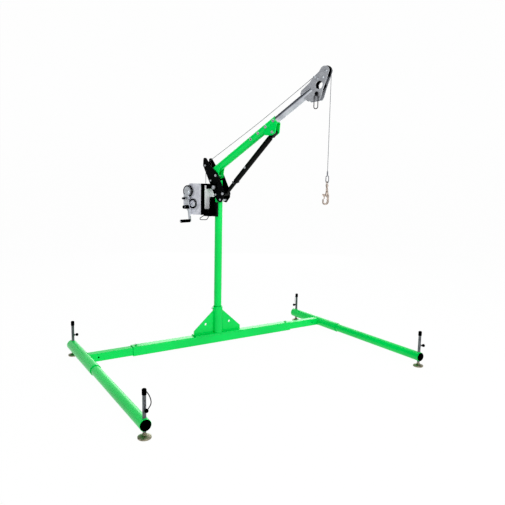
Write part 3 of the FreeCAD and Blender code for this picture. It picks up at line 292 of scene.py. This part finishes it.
# Opal acrylic sweep of the studio, lit from behind so that it stays even: white, without a mirror image.
OPAL_ACRYLIC = Finish(
    "lit_opal_acrylic", "", colour="#262626", shade="#252525", edge="#262626",
    metallic=0.0, smooth=0.85, rough=0.95, grain_mm=3.0, depth_mm=0.02, gleam=0.0, patch_mm=900.0, glow=0.98)
# Grey cast iron of the rope drum, machined: dark and half matt.
CAST_IRON = Finish(
    "machined_cast_iron", "cast_drum", colour="#77787A", shade="#5C5D60", edge="#9A9B9D",
    metallic=0.9, smooth=0.35, rough=0.55, grain_mm=1.4, depth_mm=0.1, patch_mm=30.0)


def place(dx: float, dz: float, turn: float) -> Matrix:
    """Frame in the arm's upright plane.

    Args:
        dx: Distance from the mast's axis along the arm, in millimetres.
        dz: Height above the floor, in millimetres.
        turn: Rise of the frame's own x axis, in degrees.

    Returns:
        The matrix from that frame, in millimetres, to the row frame, in metres.
    """
    upper = Matrix.Translation((MAST_X, 0, 0)) @ Matrix.Rotation(math.radians(SWING), 4, "Z")
    local = Matrix.Translation((dx / 1000, 0, dz / 1000)) @ Matrix.Rotation(math.radians(-turn), 4, "Y")
    return upper @ local @ Matrix.Scale(0.001, 4)


FLOOR_FRAME = Matrix.Translation((MAST_X, 0, 0)) @ Matrix.Scale(0.001, 4)
MAST_FRAME = place(0.0, 0.0, 0.0)
# The arm's frame starts at the arm's pivot and runs along the arm.
ARM_FRAME = place(*ARM_PIVOT, RISE)


def facing(matrix: Matrix, x: float, y: float, z: float) -> Matrix:
    """Frame at a point whose own +Z axis points to the crank's side."""
    return matrix @ Matrix.Translation((x, y, z)) @ Matrix.Rotation(math.pi / 2, 4, "X")


def outward(matrix: Matrix, x: float, y: float, z: float) -> Matrix:
    """Frame at a point whose own +Z axis points away from the plane y = 0."""
    at = facing(matrix, x, y, z)
    return at @ Matrix.Rotation(math.pi, 4, "X") if y > 0 else at


def piece(name: str, mesh: bmesh.types.BMesh, finish: Finish, body: str = "") -> bpy.types.Object:
    """Turn a built mesh into a dressed object and fix it to its body.

    Args:
        name: The piece's name.
        mesh: Its mesh, in the row frame; it is freed.
        finish: Its surface.
        body: The body that carries it, none where it is fixed later or stays unfixed.

    Returns:
        The new object.
    """
    bmesh.ops.recalc_face_normals(mesh, faces=mesh.faces)
    data = bpy.data.meshes.new(name)
    mesh.to_mesh(data)
    mesh.free()
    for face in data.polygons:
        face.use_smooth = True
    data.set_sharp_from_angle(angle=SHARP)
    data.materials.append(finish.material())
    made = bpy.data.objects.new(name, data)
    bpy.context.scene.collection.objects.link(made)
    if body:
        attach(made, body)
    LOG.info("made %s", name)
    return made


def dress(finish: Finish, *nodes: str) -> None:
    """Give the solids of these nodes a finish.

    Args:
        finish: The surface.
        nodes: Names of nodes.
    """
    for node in nodes:
        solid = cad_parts[node]
        solid.data.materials.clear()
        solid.data.materials.append(finish.material())
        LOG.info("dressed %s", node)


def line_of(route: list[Vector]) -> list[Vector]:
    """Points of the smooth line that a route's control points give.

    Args:
        route: Control points in the row frame.

    Returns:
        Points along the NURBS line.
    """
    data = bpy.data.curves.new("route", "CURVE")
    data.dimensions = "3D"
    data.resolution_u = ROUTE_STEPS
    spline = data.splines.new("NURBS")
    spline.points.add(len(route) - 1)
    for point, spot in zip(spline.points, route):
        point.co = (*spot, 1.0)
    spline.order_u = 3
    spline.use_endpoint_u = True
    holder = bpy.data.objects.new("route", data)
    bpy.context.scene.collection.objects.link(holder)
    mesh = bpy.data.meshes.new_from_object(holder)
    points = [v.co.copy() for v in mesh.vertices]
    bpy.data.objects.remove(holder)
    bpy.data.meshes.remove(mesh)
    bpy.data.curves.remove(data)
    return points


def evenly(points: list[Vector], step: float) -> list[Vector]:
    """Points at an even spacing along a line.

    Args:
        points: The line's own points.
        step: Wanted spacing in metres.

    Returns:
        The spaced points, both ends kept.
    """
    runs = [(b - a).length for a, b in zip(points, points[1:])]
    total = sum(runs)
    count = max(2, round(total / step))
    spaced = [points[0].copy()]
    index, passed = 0, 0.0
    for number in range(1, count):
        want = total * number / count
        while passed + runs[index] < want:
            passed += runs[index]
            index += 1
        spaced.append(points[index].lerp(points[index + 1], (want - passed) / runs[index]))
    spaced.append(points[-1].copy())
    return spaced


def sweep(points: list[Vector], radii: list[float], sides: int, lobes: int = 0, lay: float = 0.0,
          depth: float = 0.0, closed: bool = False) -> bmesh.types.BMesh:
    """Sweep a round or lobed section along a line.

    Args:
        points: The line, in the row frame.
        radii: The section's radius at each point.
        sides: Corners of the section.
        lobes: Strands round the section, none for a plain round.
        lay: Length in which the strands turn once, in metres.
        depth: Share of the radius that the grooves between strands take.
        closed: Whether the line runs back to its start.

    Returns:
        The swept mesh.
    """
    mesh = bmesh.new()
    heading = (points[1] - points[0]).normalized()
    side = heading.orthogonal().normalized()
    rings = []
    travelled = 0.0
    for number, spot in enumerate(points):
        ahead = points[min(number + 1, len(points) - 1)]
        behind = points[max(number - 1, 0)]
        if closed:
            ahead = points[(number + 1) % len(points)]
            behind = points[number - 1]
        turned = (ahead - behind).normalized()
        side = (heading.rotation_difference(turned) @ side).normalized()
        heading = turned
        across = heading.cross(side)
        if number:
            travelled += (spot - points[number - 1]).length
        twist = 2 * math.pi * travelled / lay if lay else 0.0
        ring = []
        for corner in range(sides):
            angle = 2 * math.pi * corner / sides
            radius = radii[number]
            if lobes:
                radius *= 1 - depth * (1 - abs(math.cos(lobes * angle / 2)))
            a = angle + twist
            ring.append(mesh.verts.new(spot + (side * math.cos(a) + across * math.sin(a)) * radius))
        rings.append(ring)
    pairs = list(zip(rings, rings[1:]))
    if closed:
        pairs.append((rings[-1], rings[0]))
    for one, two in pairs:
        for corner in range(sides):
            nxt = (corner + 1) % sides
            mesh.faces.new((one[corner], one[nxt], two[nxt], two[corner]))
    if not closed:
        mesh.faces.new(reversed(rings[0]))
        mesh.faces.new(rings[-1])
    return mesh


def lathe(profile: Profile, matrix: Matrix, sides: int = 64, flutes: int = 0,
          flute_depth: float = 0.0) -> bmesh.types.BMesh:
    """Turn a closed half section about its own +Z axis.

    Args:
        profile: Outline of radius and height, in millimetres, clear of the axis.
        matrix: Frame of the axis.
        sides: Steps round the axis.
        flutes: Grip grooves round the outer part of the section.
        flute_depth: Depth of those grooves, in millimetres.

    Returns:
        The turned mesh.
    """
    mesh = bmesh.new()
    rim = max(r for r, _ in profile)
    rings = []
    for number in range(sides):
        angle = 2 * math.pi * number / sides
        sunk = flute_depth * (0.5 - 0.5 * math.cos(flutes * angle))
        ring = []
        for r, z in profile:
            reach = r - sunk if r > FLUTED_FROM * rim else r
            spot = Vector((reach * math.cos(angle), reach * math.sin(angle), z))
            ring.append(mesh.verts.new(matrix @ spot))
        rings.append(ring)
    for one, two in zip(rings, rings[1:] + rings[:1]):
        for k in range(len(profile)):
            n = (k + 1) % len(profile)
            mesh.faces.new((one[k], two[k], two[n], one[n]))
    return mesh


def bead(name: str, points: list[Vector], width: float, body: str, finish: Finish,
         closed: bool = False) -> None:
    """Lay a rippled weld bead along a line and fix it to its body.

    Args:
        name: The bead's name.
        points: The line, in the row frame.
        width: Radius of the bead, in metres.
        body: The body that carries it.
        finish: Its coat.
        closed: Whether it runs all the way round.
    """
    spaced = evenly(points + points[:1] if closed else points, width * BEAD_STEP)
    if closed:
        spaced.pop()
    radii = [width * (1 + BEAD_RIPPLE * math.sin(RIPPLE_TURN * number)) for number in range(len(spaced))]
    if not closed:
        radii[0] *= BEAD_END
        radii[-1] *= BEAD_END
    piece(name, sweep(spaced, radii, BEAD_SIDES, closed=closed), finish, body)


def circle(matrix: Matrix, radius: float, height: float, steps: int = 72) -> list[Vector]:
    """Points round a frame's own +Z axis, in the row frame."""
    turns = (2 * math.pi * number / steps for number in range(steps))
    return [matrix @ Vector((radius * math.cos(a), radius * math.sin(a), height)) for a in turns]


@dataclass
class Base:
    """Green H base: beam, tees, legs and the mast's footing, in millimetres from the mast's axis."""

    beam_half: float = 45.0
    stub_half: float = 38.0
    stub_steps: int = 6
    plate_half: float = 270.0
    plate_top: float = 151.0
    plate_weld: float = 10.5
    socket_r: float = 50.8
    gusset_half: float = 5.0
    gusset_top: float = 385.0
    gusset_ends: Pair = (6.0, 3.0)
    toe: float = 1.0
    small_toe: float = 0.5
    bead_r: float = 0.0032

    def build(self) -> None:
        """Dress the base and lay its weld beads."""
        dress(GREEN_COAT, "main_beam", "left_tee", "right_tee", "left_leg", "right_leg")
        dress(MOULDED_BLACK, "left_leg_cap", "right_leg_cap", "sleeve_bush")
        dress(BRIGHT_ZINC, "clamp_bolts")
        self.footing()
        for word, side in (("left", -1), ("right", 1)):
            self.stub(word, side)

    def spot(self, x: float, y: float, z: float) -> Vector:
        """A point of the base in the row frame."""
        return FLOOR_FRAME @ Vector((x, y, z))

    def weld(self, name: str, points: list[Vector], body: str, closed: bool = False) -> None:
        """One of the base's green beads, on its body."""
        bead(name, points, self.bead_r, body, GREEN_COAT, closed)

    def footing(self) -> None:
        """Beads of the foot plate, the socket and the gussets."""
        top = self.plate_top
        foot_z = top + self.toe
        self.weld("socket_foot_bead", circle(FLOOR_FRAME, self.socket_r + self.toe, foot_z), "base", True)
        for side in (-1, 1):
            ends = (-self.plate_half, self.plate_half)
            edge = [self.spot(side * self.beam_half, y, top - self.plate_weld) for y in ends]
            self.weld(f"plate_bead_{side + 1}", edge, "base")
            near = side * (self.socket_r + self.small_toe)
            start, stop = top + self.gusset_ends[0], self.gusset_top - self.gusset_ends[1]
            for face in (-1, 1):
                x = face * (self.gusset_half + self.toe)
                foot = [self.spot(x, side * y, foot_z) for y in (self.socket_r, self.plate_half)]
                rise = [self.spot(x, near, z) for z in (start, stop)]
                self.weld(f"gusset_foot_bead_{side + 1}{face + 1}", foot, "base")
                self.weld(f"gusset_rise_bead_{side + 1}{face + 1}", rise, "base")

    def stub(self, word: str, side: int) -> None:
        """Beads where a stub meets its leg sleeve.

        Args:
            word: The side's name.
            side: Minus one on the left, one on the right.
        """
        half = self.stub_half
        out = half + self.small_toe
        steps = [half * (step / self.stub_steps - 1) for step in range(2 * self.stub_steps + 1)]
        meet = [side * (TRACK - math.sqrt(TEE_R ** 2 - z ** 2)) - side * self.small_toe for z in steps]
        for way in (-1, 1):
            level = [self.spot(x, meet[0], TUBE_HEIGHT + way * out) for x in (-half, half)]
            upright = [self.spot(way * out, y, TUBE_HEIGHT + z) for y, z in zip(meet, steps)]
            self.weld(f"{word}_stub_bead_{way + 1}", level, word + "_side")
            self.weld(f"{word}_stub_side_bead_{way + 1}", upright, word + "_side")


@dataclass
class Jack:
    """One levelling jack: plated tube, capped, with a pull pin; in millimetres, its bead in metres."""

    word: str
    x: float
    side: int
    holder: str
    sleeve_r: float
    tube_r: float = 12.7
    toe: float = 1.0
    lift: float = 0.6
    bead_r: float = 0.0026

    def build(self) -> None:
        """Dress the jack and weld its tube to the leg."""
        dress(PLATED_TUBE, self.word + "_jack_tube")
        dress(MOULDED_BLACK, self.word + "_jack_cap", self.word + "_jack_pin")
        dress(YELLOW_ZINC, self.word + "_jack_foot")
        line = []
        for spot in circle(Matrix(), self.tube_r + self.toe, 0.0):
            z = TUBE_HEIGHT + math.sqrt(self.sleeve_r ** 2 - spot.y ** 2) + self.lift
            line.append(FLOOR_FRAME @ Vector((self.x + spot.x, self.side * TRACK + spot.y, z)))
        bead(self.word + "_jack_bead", line, self.bead_r, self.holder, GREEN_COAT, True)


@dataclass
class Lanyard:
    """A cord from a jack's cap to the knob of its pull pin, in millimetres from the jack's axis and the floor.

    Its step and lay are in metres for each millimetre of its diameter.
    """

    node: str
    x: float
    y: float
    route: tuple[Triple, ...]
    diameter: float
    finish: Finish
    holder: str
    pin: str
    lobes: int
    sides: int = 18
    step: float = 0.0004
    lay: float = 0.004
    groove: float = 0.16

    def build(self) -> None:
        """Sweep the cord along its route, from cap to knob, in place of its solid."""
        spots = [FLOOR_FRAME @ Vector((self.x + dx, self.y + dy, z)) for dx, dy, z in self.route]
        line = evenly(line_of(spots), self.diameter * self.step)
        radii = [self.diameter / 2000] * len(line)
        mesh = sweep(line, radii, self.sides, self.lobes, self.diameter * self.lay, self.groove)
        made = piece(self.node + "_cord", mesh, self.finish)
        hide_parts(self.node)
        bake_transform(made)


@dataclass
class Rope:
    """Galvanised wire rope in the arm's plane, in millimetres from the mast's axis and the floor.

    Its step along the line is in metres.
    """

    diameter: float = 5.0
    lay: float = 32.0
    strands: int = 6
    sides: int = 24
    groove: float = 0.2
    step: float = 0.0035
    riser: Route = ((-179.0, 1476.0), (-179.0, 1830.0), (-179.0, 1881.77), (-159.72, 1891.88))
    lower: Route = ((-159.72, 1891.88), (171.03, 2072.16), (501.79, 2261.44))
    upper: Route = ((501.79, 2261.44), (832.55, 2459.72), (1163.31, 2667.0))
    turn: Route = ((1163.31, 2667.0), (1183.76, 2680.31), (1226.67, 2657.04), (1226.67, 2632.63))
    drop: Route = ((1226.67, 2632.33), (1226.67, 2217.0), (1226.67, 1802.0))

    def build(self) -> None:
        """Lay the five runs of the rope; only the riser is fixed to a body."""
        self.run("rope_riser", self.riser, "cable_riser", "mast", "")
        self.run("rope_lower_span", self.lower, "cable_span_lower", "mast", "arm")
        self.run("rope_upper_span", self.upper, "cable_span_upper", "arm", "boom")
        self.run("rope_sheave_turn", self.turn, "cable_span_upper", "boom", "hook_line")
        self.run("rope_drop", self.drop, "cable_drop", "hook_line", "hook_eye")

    def run(self, name: str, route: Route, node: str, first: str, last: str) -> None:
        """Sweep one run of stranded rope.

        Args:
            name: The run's name.
            route: Its control points.
            node: The solid it stands for.
            first: The body at its start.
            last: The body at its end; where empty, the run is fixed to its first body, otherwise its place is
                baked in.
        """
        line = evenly(line_of([MAST_FRAME @ Vector((x, 0, z)) for x, z in route]), self.step)
        radii = [self.diameter / 2000] * len(line)
        mesh = sweep(line, radii, self.sides, self.strands, self.lay / 1000, self.groove)
        made = piece(name, mesh, GALVANISED_WIRE)
        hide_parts(node)
        if last:
            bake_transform(made)
        else:
            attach(made, first)


@dataclass
class MastHead:
    """Mast tube, the black head plates and the rear pulley."""

    def build(self) -> None:
        """Dress the mast and its head."""
        dress(GREEN_COAT, "mast_tube")
        dress(BLACK_COAT, "bracket_plates")
        dress(BRIGHT_ZINC, "bracket_bolts")
        dress(TURNED_NYLON, "rear_pulley")


@dataclass
class Winch:
    """Side winch: cast covers in a black frame, hub rings, cover screws, folding crank; in millimetres.

    Places lie in the arm's plane, sections give radius and height, and a hub ring its inner and outer
    radius and how far it stands out.
    """

    crank_axis: Pair = (-300.0, 1601.0)
    drum_axis: Pair = (-236.0, 1476.0)
    face: float = 127.0
    crank_face: float = 137.0
    crank_turn: float = -81.0
    upper_ring: Triple = (47.2, 58.6, 20.4)
    lower_ring: Triple = (34.2, 49.6, 9.4)
    ring_foot: float = 0.2
    ring_round: float = 2.0
    ring_bevel: float = 1.5
    cap_section: Profile = ((4.0, 4.0), (32.0, 4.0), (32.0, 6.0), (30.5, 7.2), (22.0, 8.0), (21.0, 6.8),
                            (14.0, 6.8), (12.5, 9.6), (4.0, 10.4))
    screws: Profile = ((-141.0, 1666.0), (-272.0, 1667.0), (-361.0, 1530.0), (-361.0, 1468.0),
                       (-280.0, 1379.0), (-141.0, 1379.0))
    screw_section: Profile = ((0.3, 0.0), (5.0, 0.0), (5.0, 1.6), (4.2, 2.8), (2.9, 3.2), (2.5, 3.2),
                              (2.5, 1.2), (0.3, 1.0))
    knuckle_at: Triple = (162.0, 0.0, 0.0)
    knuckle_section: Profile = ((2.0, 22.0), (17.0, 22.0), (18.9, 24.0), (18.9, 82.0), (15.5, 86.0),
                                (2.0, 86.4))
    latch_at: Triple = (70.0, -34.0, 0.0)
    latch_section: Profile = ((1.0, 22.0), (9.6, 22.0), (10.9, 24.0), (10.9, 51.0), (8.5, 53.8), (1.0, 54.0))
    grip_at: Triple = (303.0, 0.0, 0.0)
    grip_foot: Profile = ((6.1, 21.5), (13.0, 21.5), (15.6, 23.5))
    grip_rib: Profile = ((15.8, 0.0), (14.4, 3.0), (14.4, 6.5), (15.8, 9.5))
    grip_end: Profile = ((15.2, 144.5), (12.8, 146.4), (6.1, 146.4))
    ribs: int = 10
    first_rib: float = 27.0
    rib_pitch: float = 11.5

    def build(self) -> None:
        """Dress the winch and fit its trim."""
        dress(BLACK_COAT, "winch_frame", "winch_bracket")
        dress(CAST_ALUMINIUM, "winch_cover_near", "winch_cover_far")
        dress(ANODISED_SHEET, "winch_front_panel")
        dress(CAST_IRON, "drum")
        dress(BRIGHT_ZINC, "pinion_shaft", "crank_arm")
        dress(COATED_WIRE, "winch_pin")
        self.ring("upper_hub_ring", self.crank_axis, *self.upper_ring)
        self.ring("lower_hub_ring", self.drum_axis, *self.lower_ring)
        self.cap()
        for number, (x, z) in enumerate(self.screws):
            for word, side in (("near", -1), ("far", 1)):
                at = outward(MAST_FRAME, x, side * self.face, z)
                screw = lathe(self.screw_section, at, sides=36)
                piece(f"cover_screw_{word}_{number}", screw, BRIGHT_ZINC, "mast")
        self.handle()

    def ring(self, name: str, axis: Pair, inner: float, outer: float, height: float) -> None:
        """Moulded trim ring round a hub.

        Args:
            name: The ring's name.
            axis: Place of the hub in the arm's plane.
            inner: Inner radius.
            outer: Outer radius.
            height: How far it stands out from the cover.
        """
        section = ((inner, self.ring_foot), (outer, self.ring_foot), (outer, height - self.ring_round),
                   (outer - self.ring_round, height), (inner + self.ring_bevel, height),
                   (inner, height - self.ring_bevel))
        at = facing(MAST_FRAME, axis[0], -self.face, axis[1])
        piece(name, lathe(section, at, sides=96), MOULDED_BLACK, "mast")

    def cap(self) -> None:
        """Stepped cap on the drum's bearing, inside the lower ring."""
        at = facing(MAST_FRAME, self.drum_axis[0], -self.face, self.drum_axis[1])
        cap = lathe(self.cap_section, at, sides=72, flutes=24, flute_depth=0.7)
        piece("bearing_cap", cap, CAST_ALUMINIUM, "mast")

    def handle(self) -> None:
        """Black knuckle knob, latch knob and ribbed grip of the crank."""
        x, z = self.crank_axis
        turn = Matrix.Rotation(math.radians(self.crank_turn), 4, "Z")
        at = facing(MAST_FRAME, x, -self.crank_face, z) @ turn
        knuckle = lathe(self.knuckle_section, at @ Matrix.Translation(self.knuckle_at), sides=144, flutes=24,
                        flute_depth=0.9)
        piece("crank_knuckle_knob", knuckle, MOULDED_BLACK, "crank")
        latch = lathe(self.latch_section, at @ Matrix.Translation(self.latch_at), sides=96, flutes=16,
                      flute_depth=0.6)
        piece("crank_latch_knob", latch, MOULDED_BLACK, "crank")
        starts = (self.first_rib + number * self.rib_pitch for number in range(self.ribs))
        ribs = tuple((r, start + high) for start in starts for r, high in self.grip_rib)
        section = self.grip_foot + ribs + self.grip_end
        grip = lathe(section, at @ Matrix.Translation(self.grip_at), sides=64)
        made = piece("ribbed_grip", grip, MOULDED_BLACK, "crank_grip")
        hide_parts("crank_grip")


@dataclass
class Arm:
    """Green arm tube with the black telescopic strut, in millimetres along the arm; its beads in metres."""

    lug_out: float = 34.4
    lug_weld: float = -17.0
    lug_ends: Pair = (690.0, 845.0)
    bead_r: float = 0.0028
    bush_foot: float = 32.6
    bush_section: Profile = ((5.0, 0.0), (11.7, 0.0), (11.7, 2.2), (14.5, 2.2), (14.5, 6.2), (13.5, 7.2),
                             (6.0, 7.2), (5.0, 6.2))
    holes: tuple[float, ...] = (532.0, 631.0, 730.0, 829.0)

    def build(self) -> None:
        """Dress arm and strut, weld the strut's lugs and line the adjusting holes."""
        dress(GREEN_COAT, "arm_tube")
        dress(BLACK_COAT, "strut_lower", "strut_upper")
        dress(BRIGHT_ZINC, "arm_head_bolt", "strut_bolt")
        dress(PLATED_TUBE, "strut_pin")
        for side in (-1, 1):
            line = [ARM_FRAME @ Vector((u, side * self.lug_out, self.lug_weld)) for u in self.lug_ends]
            bead(f"arm_lug_bead_{side + 1}", line, self.bead_r, "arm", GREEN_COAT)
            for number, u in enumerate(self.holes):
                at = outward(ARM_FRAME, u, side * self.bush_foot, 0.0)
                bush = lathe(self.bush_section, at, sides=48)
                piece(f"adjusting_bush_{side + 1}{number}", bush, ROLLED_ALUMINIUM, "arm")


@dataclass
class Head:
    """Bright boom, head plates and sheave, in millimetres along the arm; its beads in metres."""

    eye: Pair = (1362.0, -16.0)
    liner: Profile = ((34.6, -23.8), (37.5, -23.8), (37.5, 23.8), (34.6, 23.8))
    weld: Pair = (26.5, 20.2)
    weld_ends: Pair = (1186.0, 1280.0)
    bead_r: float = 0.0028

    def build(self) -> None:
        """Dress boom and head, line the eye and weld the plates to the boom."""
        dress(DRAWN_ALUMINIUM, "boom_tube")
        dress(ROLLED_ALUMINIUM, "head_plates")
        dress(BRIGHT_ZINC, "head_bolts")
        dress(COATED_WIRE, "head_pin")
        dress(TURNED_NYLON, "head_sheave")
        at = facing(ARM_FRAME, self.eye[0], 0.0, self.eye[1])
        piece("eye_liner", lathe(self.liner, at, sides=96), MOULDED_BLACK, "boom")
        out, up = self.weld
        for side in (-1, 1):
            for high in (-1, 1):
                line = [ARM_FRAME @ Vector((u, side * out, high * up)) for u in self.weld_ends]
                bead(f"head_bead_{side + 1}{high + 1}", line, self.bead_r, "boom", ROLLED_ALUMINIUM)


@dataclass
class HookSet:
    """Rope eye, swivel and snap hook."""

    def build(self) -> None:
        """Dress the hook."""
        dress(GALVANISED_WIRE, "hook_eye")
        dress(BRONZED_STEEL, "swivel_bail", "hook", "hook_gate")


@dataclass(frozen=True)
class Lamp:
    """A square soft lamp aimed at the crane's middle, in metres and watts."""

    name: str
    spot: Triple
    size: float
    power: float
    aim: Triple = (0.0, 0.0, 1.2)

    def build(self) -> None:
        """Hang the lamp, out of the camera's sight."""
        data = bpy.data.lights.new(self.name, "AREA")
        data.energy = self.power
        data.size = self.size
        made = bpy.data.objects.new(self.name, data)
        made.location = self.spot
        made.visible_camera = False
        made.rotation_euler = (Vector(self.aim) - Vector(self.spot)).to_track_quat("-Z", "Y").to_euler()
        bpy.context.scene.collection.objects.link(made)


@dataclass
class Studio:
    """White sweep, soft lamps and the camera at the photograph's place, in metres; the lens in millimetres."""

    spot: Triple = (3.96335, -2.4994, 1.6598)
    right: Triple = (0.5420, 0.8402, 0.0201)
    up: Triple = (-0.1194, 0.0533, 0.9914)
    lens: float = 36.09
    sensor: float = 36.0
    sight: float = 200.0
    ahead: Triple = (-0.8392, 0.5438, 0.0)
    across: Triple = (0.5438, 0.8392, 0.0)
    near_end: float = -30.0
    bend: float = 9.0
    bend_r: float = 4.0
    bend_steps: int = 16
    sweep_top: float = 16.0
    sweep_half: float = 40.0
    under_pads: float = 0.0005
    horizon: tuple[float, str] = (0.1, "#B4B6B9")
    zenith: tuple[float, str] = (0.55, "#2C2D2E")
    gamma: float = 0.85
    black_level: float = 0.02
    lamps: tuple[Lamp, ...] = (
        Lamp("key", (6.4, -3.2, 5.2), 5.0, 400.0), Lamp("fill", (5.5, 4.0, 3.5), 5.0, 190.0),
        Lamp("top", (-0.5, 0.0, 6.5), 6.0, 220.0), Lamp("rim", (-6.5, 4.0, 2.0), 5.0, 120.0))

    def build(self) -> None:
        """Set the camera, the floor and the light."""
        self.camera()
        self.floor()
        self.light()

    def camera(self) -> None:
        """Make the camera and look along the photograph's line."""
        data = bpy.data.cameras.new("camera")
        data.sensor_width = self.sensor
        data.lens = self.lens
        data.clip_end = self.sight
        made = bpy.data.objects.new("camera", data)
        right, up = Vector(self.right).normalized(), Vector(self.up).normalized()
        turn = Matrix((right, up, right.cross(up))).transposed().to_4x4()
        made.matrix_world = Matrix.Translation(self.spot) @ turn
        bpy.context.scene.collection.objects.link(made)
        bpy.context.scene.camera = made

    def floor(self) -> None:
        """Lay a wide pale sweep: floor just under the pads, curving up far behind."""
        mesh = bmesh.new()
        ahead, across = Vector(self.ahead), Vector(self.across)
        turns = [math.pi / 2 * k / self.bend_steps for k in range(1, self.bend_steps + 1)]
        arc = [(self.bend + self.bend_r * math.sin(a), self.bend_r - self.bend_r * math.cos(a)) for a in turns]
        section = [(self.near_end, 0.0), (self.bend, 0.0), *arc, (self.bend + self.bend_r, self.sweep_top)]
        rows = []
        for side in (-self.sweep_half, self.sweep_half):
            spots = (ahead * run + across * side + Vector((0, 0, high - self.under_pads)) for run, high in section)
            rows.append([mesh.verts.new(spot) for spot in spots])
        for k in range(len(section) - 1):
            mesh.faces.new((rows[0][k], rows[0][k + 1], rows[1][k + 1], rows[1][k]))
        piece("sweep", mesh, OPAL_ACRYLIC)

    def light(self) -> None:
        """Surroundings that darken upwards and broad lamps, so that bright metal keeps its dark reflections."""
        world = bpy.data.worlds.new("studio")
        world.use_nodes = True
        tree = world.node_tree
        spot = add(tree, "ShaderNodeTexCoord", {}, {})
        high = add(tree, "ShaderNodeSeparateXYZ", {}, {"Vector": spot.outputs["Generated"]})
        ramp = add(tree, "ShaderNodeValToRGB", {}, {"Fac": high.outputs["Z"]})
        for stop, (position, code) in zip(ramp.color_ramp.elements, (self.horizon, self.zenith)):
            stop.position, stop.color = position, linear(code)
        tree.links.new(ramp.outputs["Color"], tree.nodes["Background"].inputs["Color"])
        bpy.context.scene.world = world
        view = bpy.context.scene.view_settings
        view.view_transform = "Standard"
        view.gamma = self.gamma
        view.use_curve_mapping = True
        view.curve_mapping.black_level = (self.black_level,) * 3
        for lamp in self.lamps:
            lamp.build()


LANYARDS = (
    Lanyard("lf_lanyard", FRONT_JACK_X, -TRACK,
            ((15.6, 9.0, 325.0), (24.8, 14.3, 317.0), (33.5, 21.5, 302.0), (41.0, 28.0, 281.0),
             (45.5, 30.5, 258.0), (46.0, 24.5, 236.0), (41.5, 8.9, 213.7)),
            diameter=6.5, finish=BRAIDED_CORD, holder="left_leg", pin="lf_pin", lobes=8),
    Lanyard("rr_lanyard", REAR_JACK_X, TRACK,
            ((0.0, -16.8, 322.0), (0.0, -24.0, 302.0), (0.0, -29.5, 276.0), (0.0, -34.0, 246.0),
             (0.0, -37.5, 217.8)),
            diameter=2.5, finish=GALVANISED_WIRE, holder="right_side", pin="rr_pin", lobes=6),
)
JACKS = (
    Jack("lf", FRONT_JACK_X, -1, "left_leg", LEG_R), Jack("rf", FRONT_JACK_X, 1, "right_leg", LEG_R),
    Jack("lr", REAR_JACK_X, -1, "left_side", TEE_R), Jack("rr", REAR_JACK_X, 1, "right_side", TEE_R),
)


def main() -> None:
    """Build the crane's pieces in order."""
    logging.basicConfig(level=logging.INFO, format="%(name)s: %(message)s")
    upper = (MastHead(), Winch(), Arm(), Head(), HookSet())
    for assembly in (Studio(), Rope(), *LANYARDS, Base(), *JACKS, *upper):
        assembly.build()


if __name__ == "__main__":
    main()
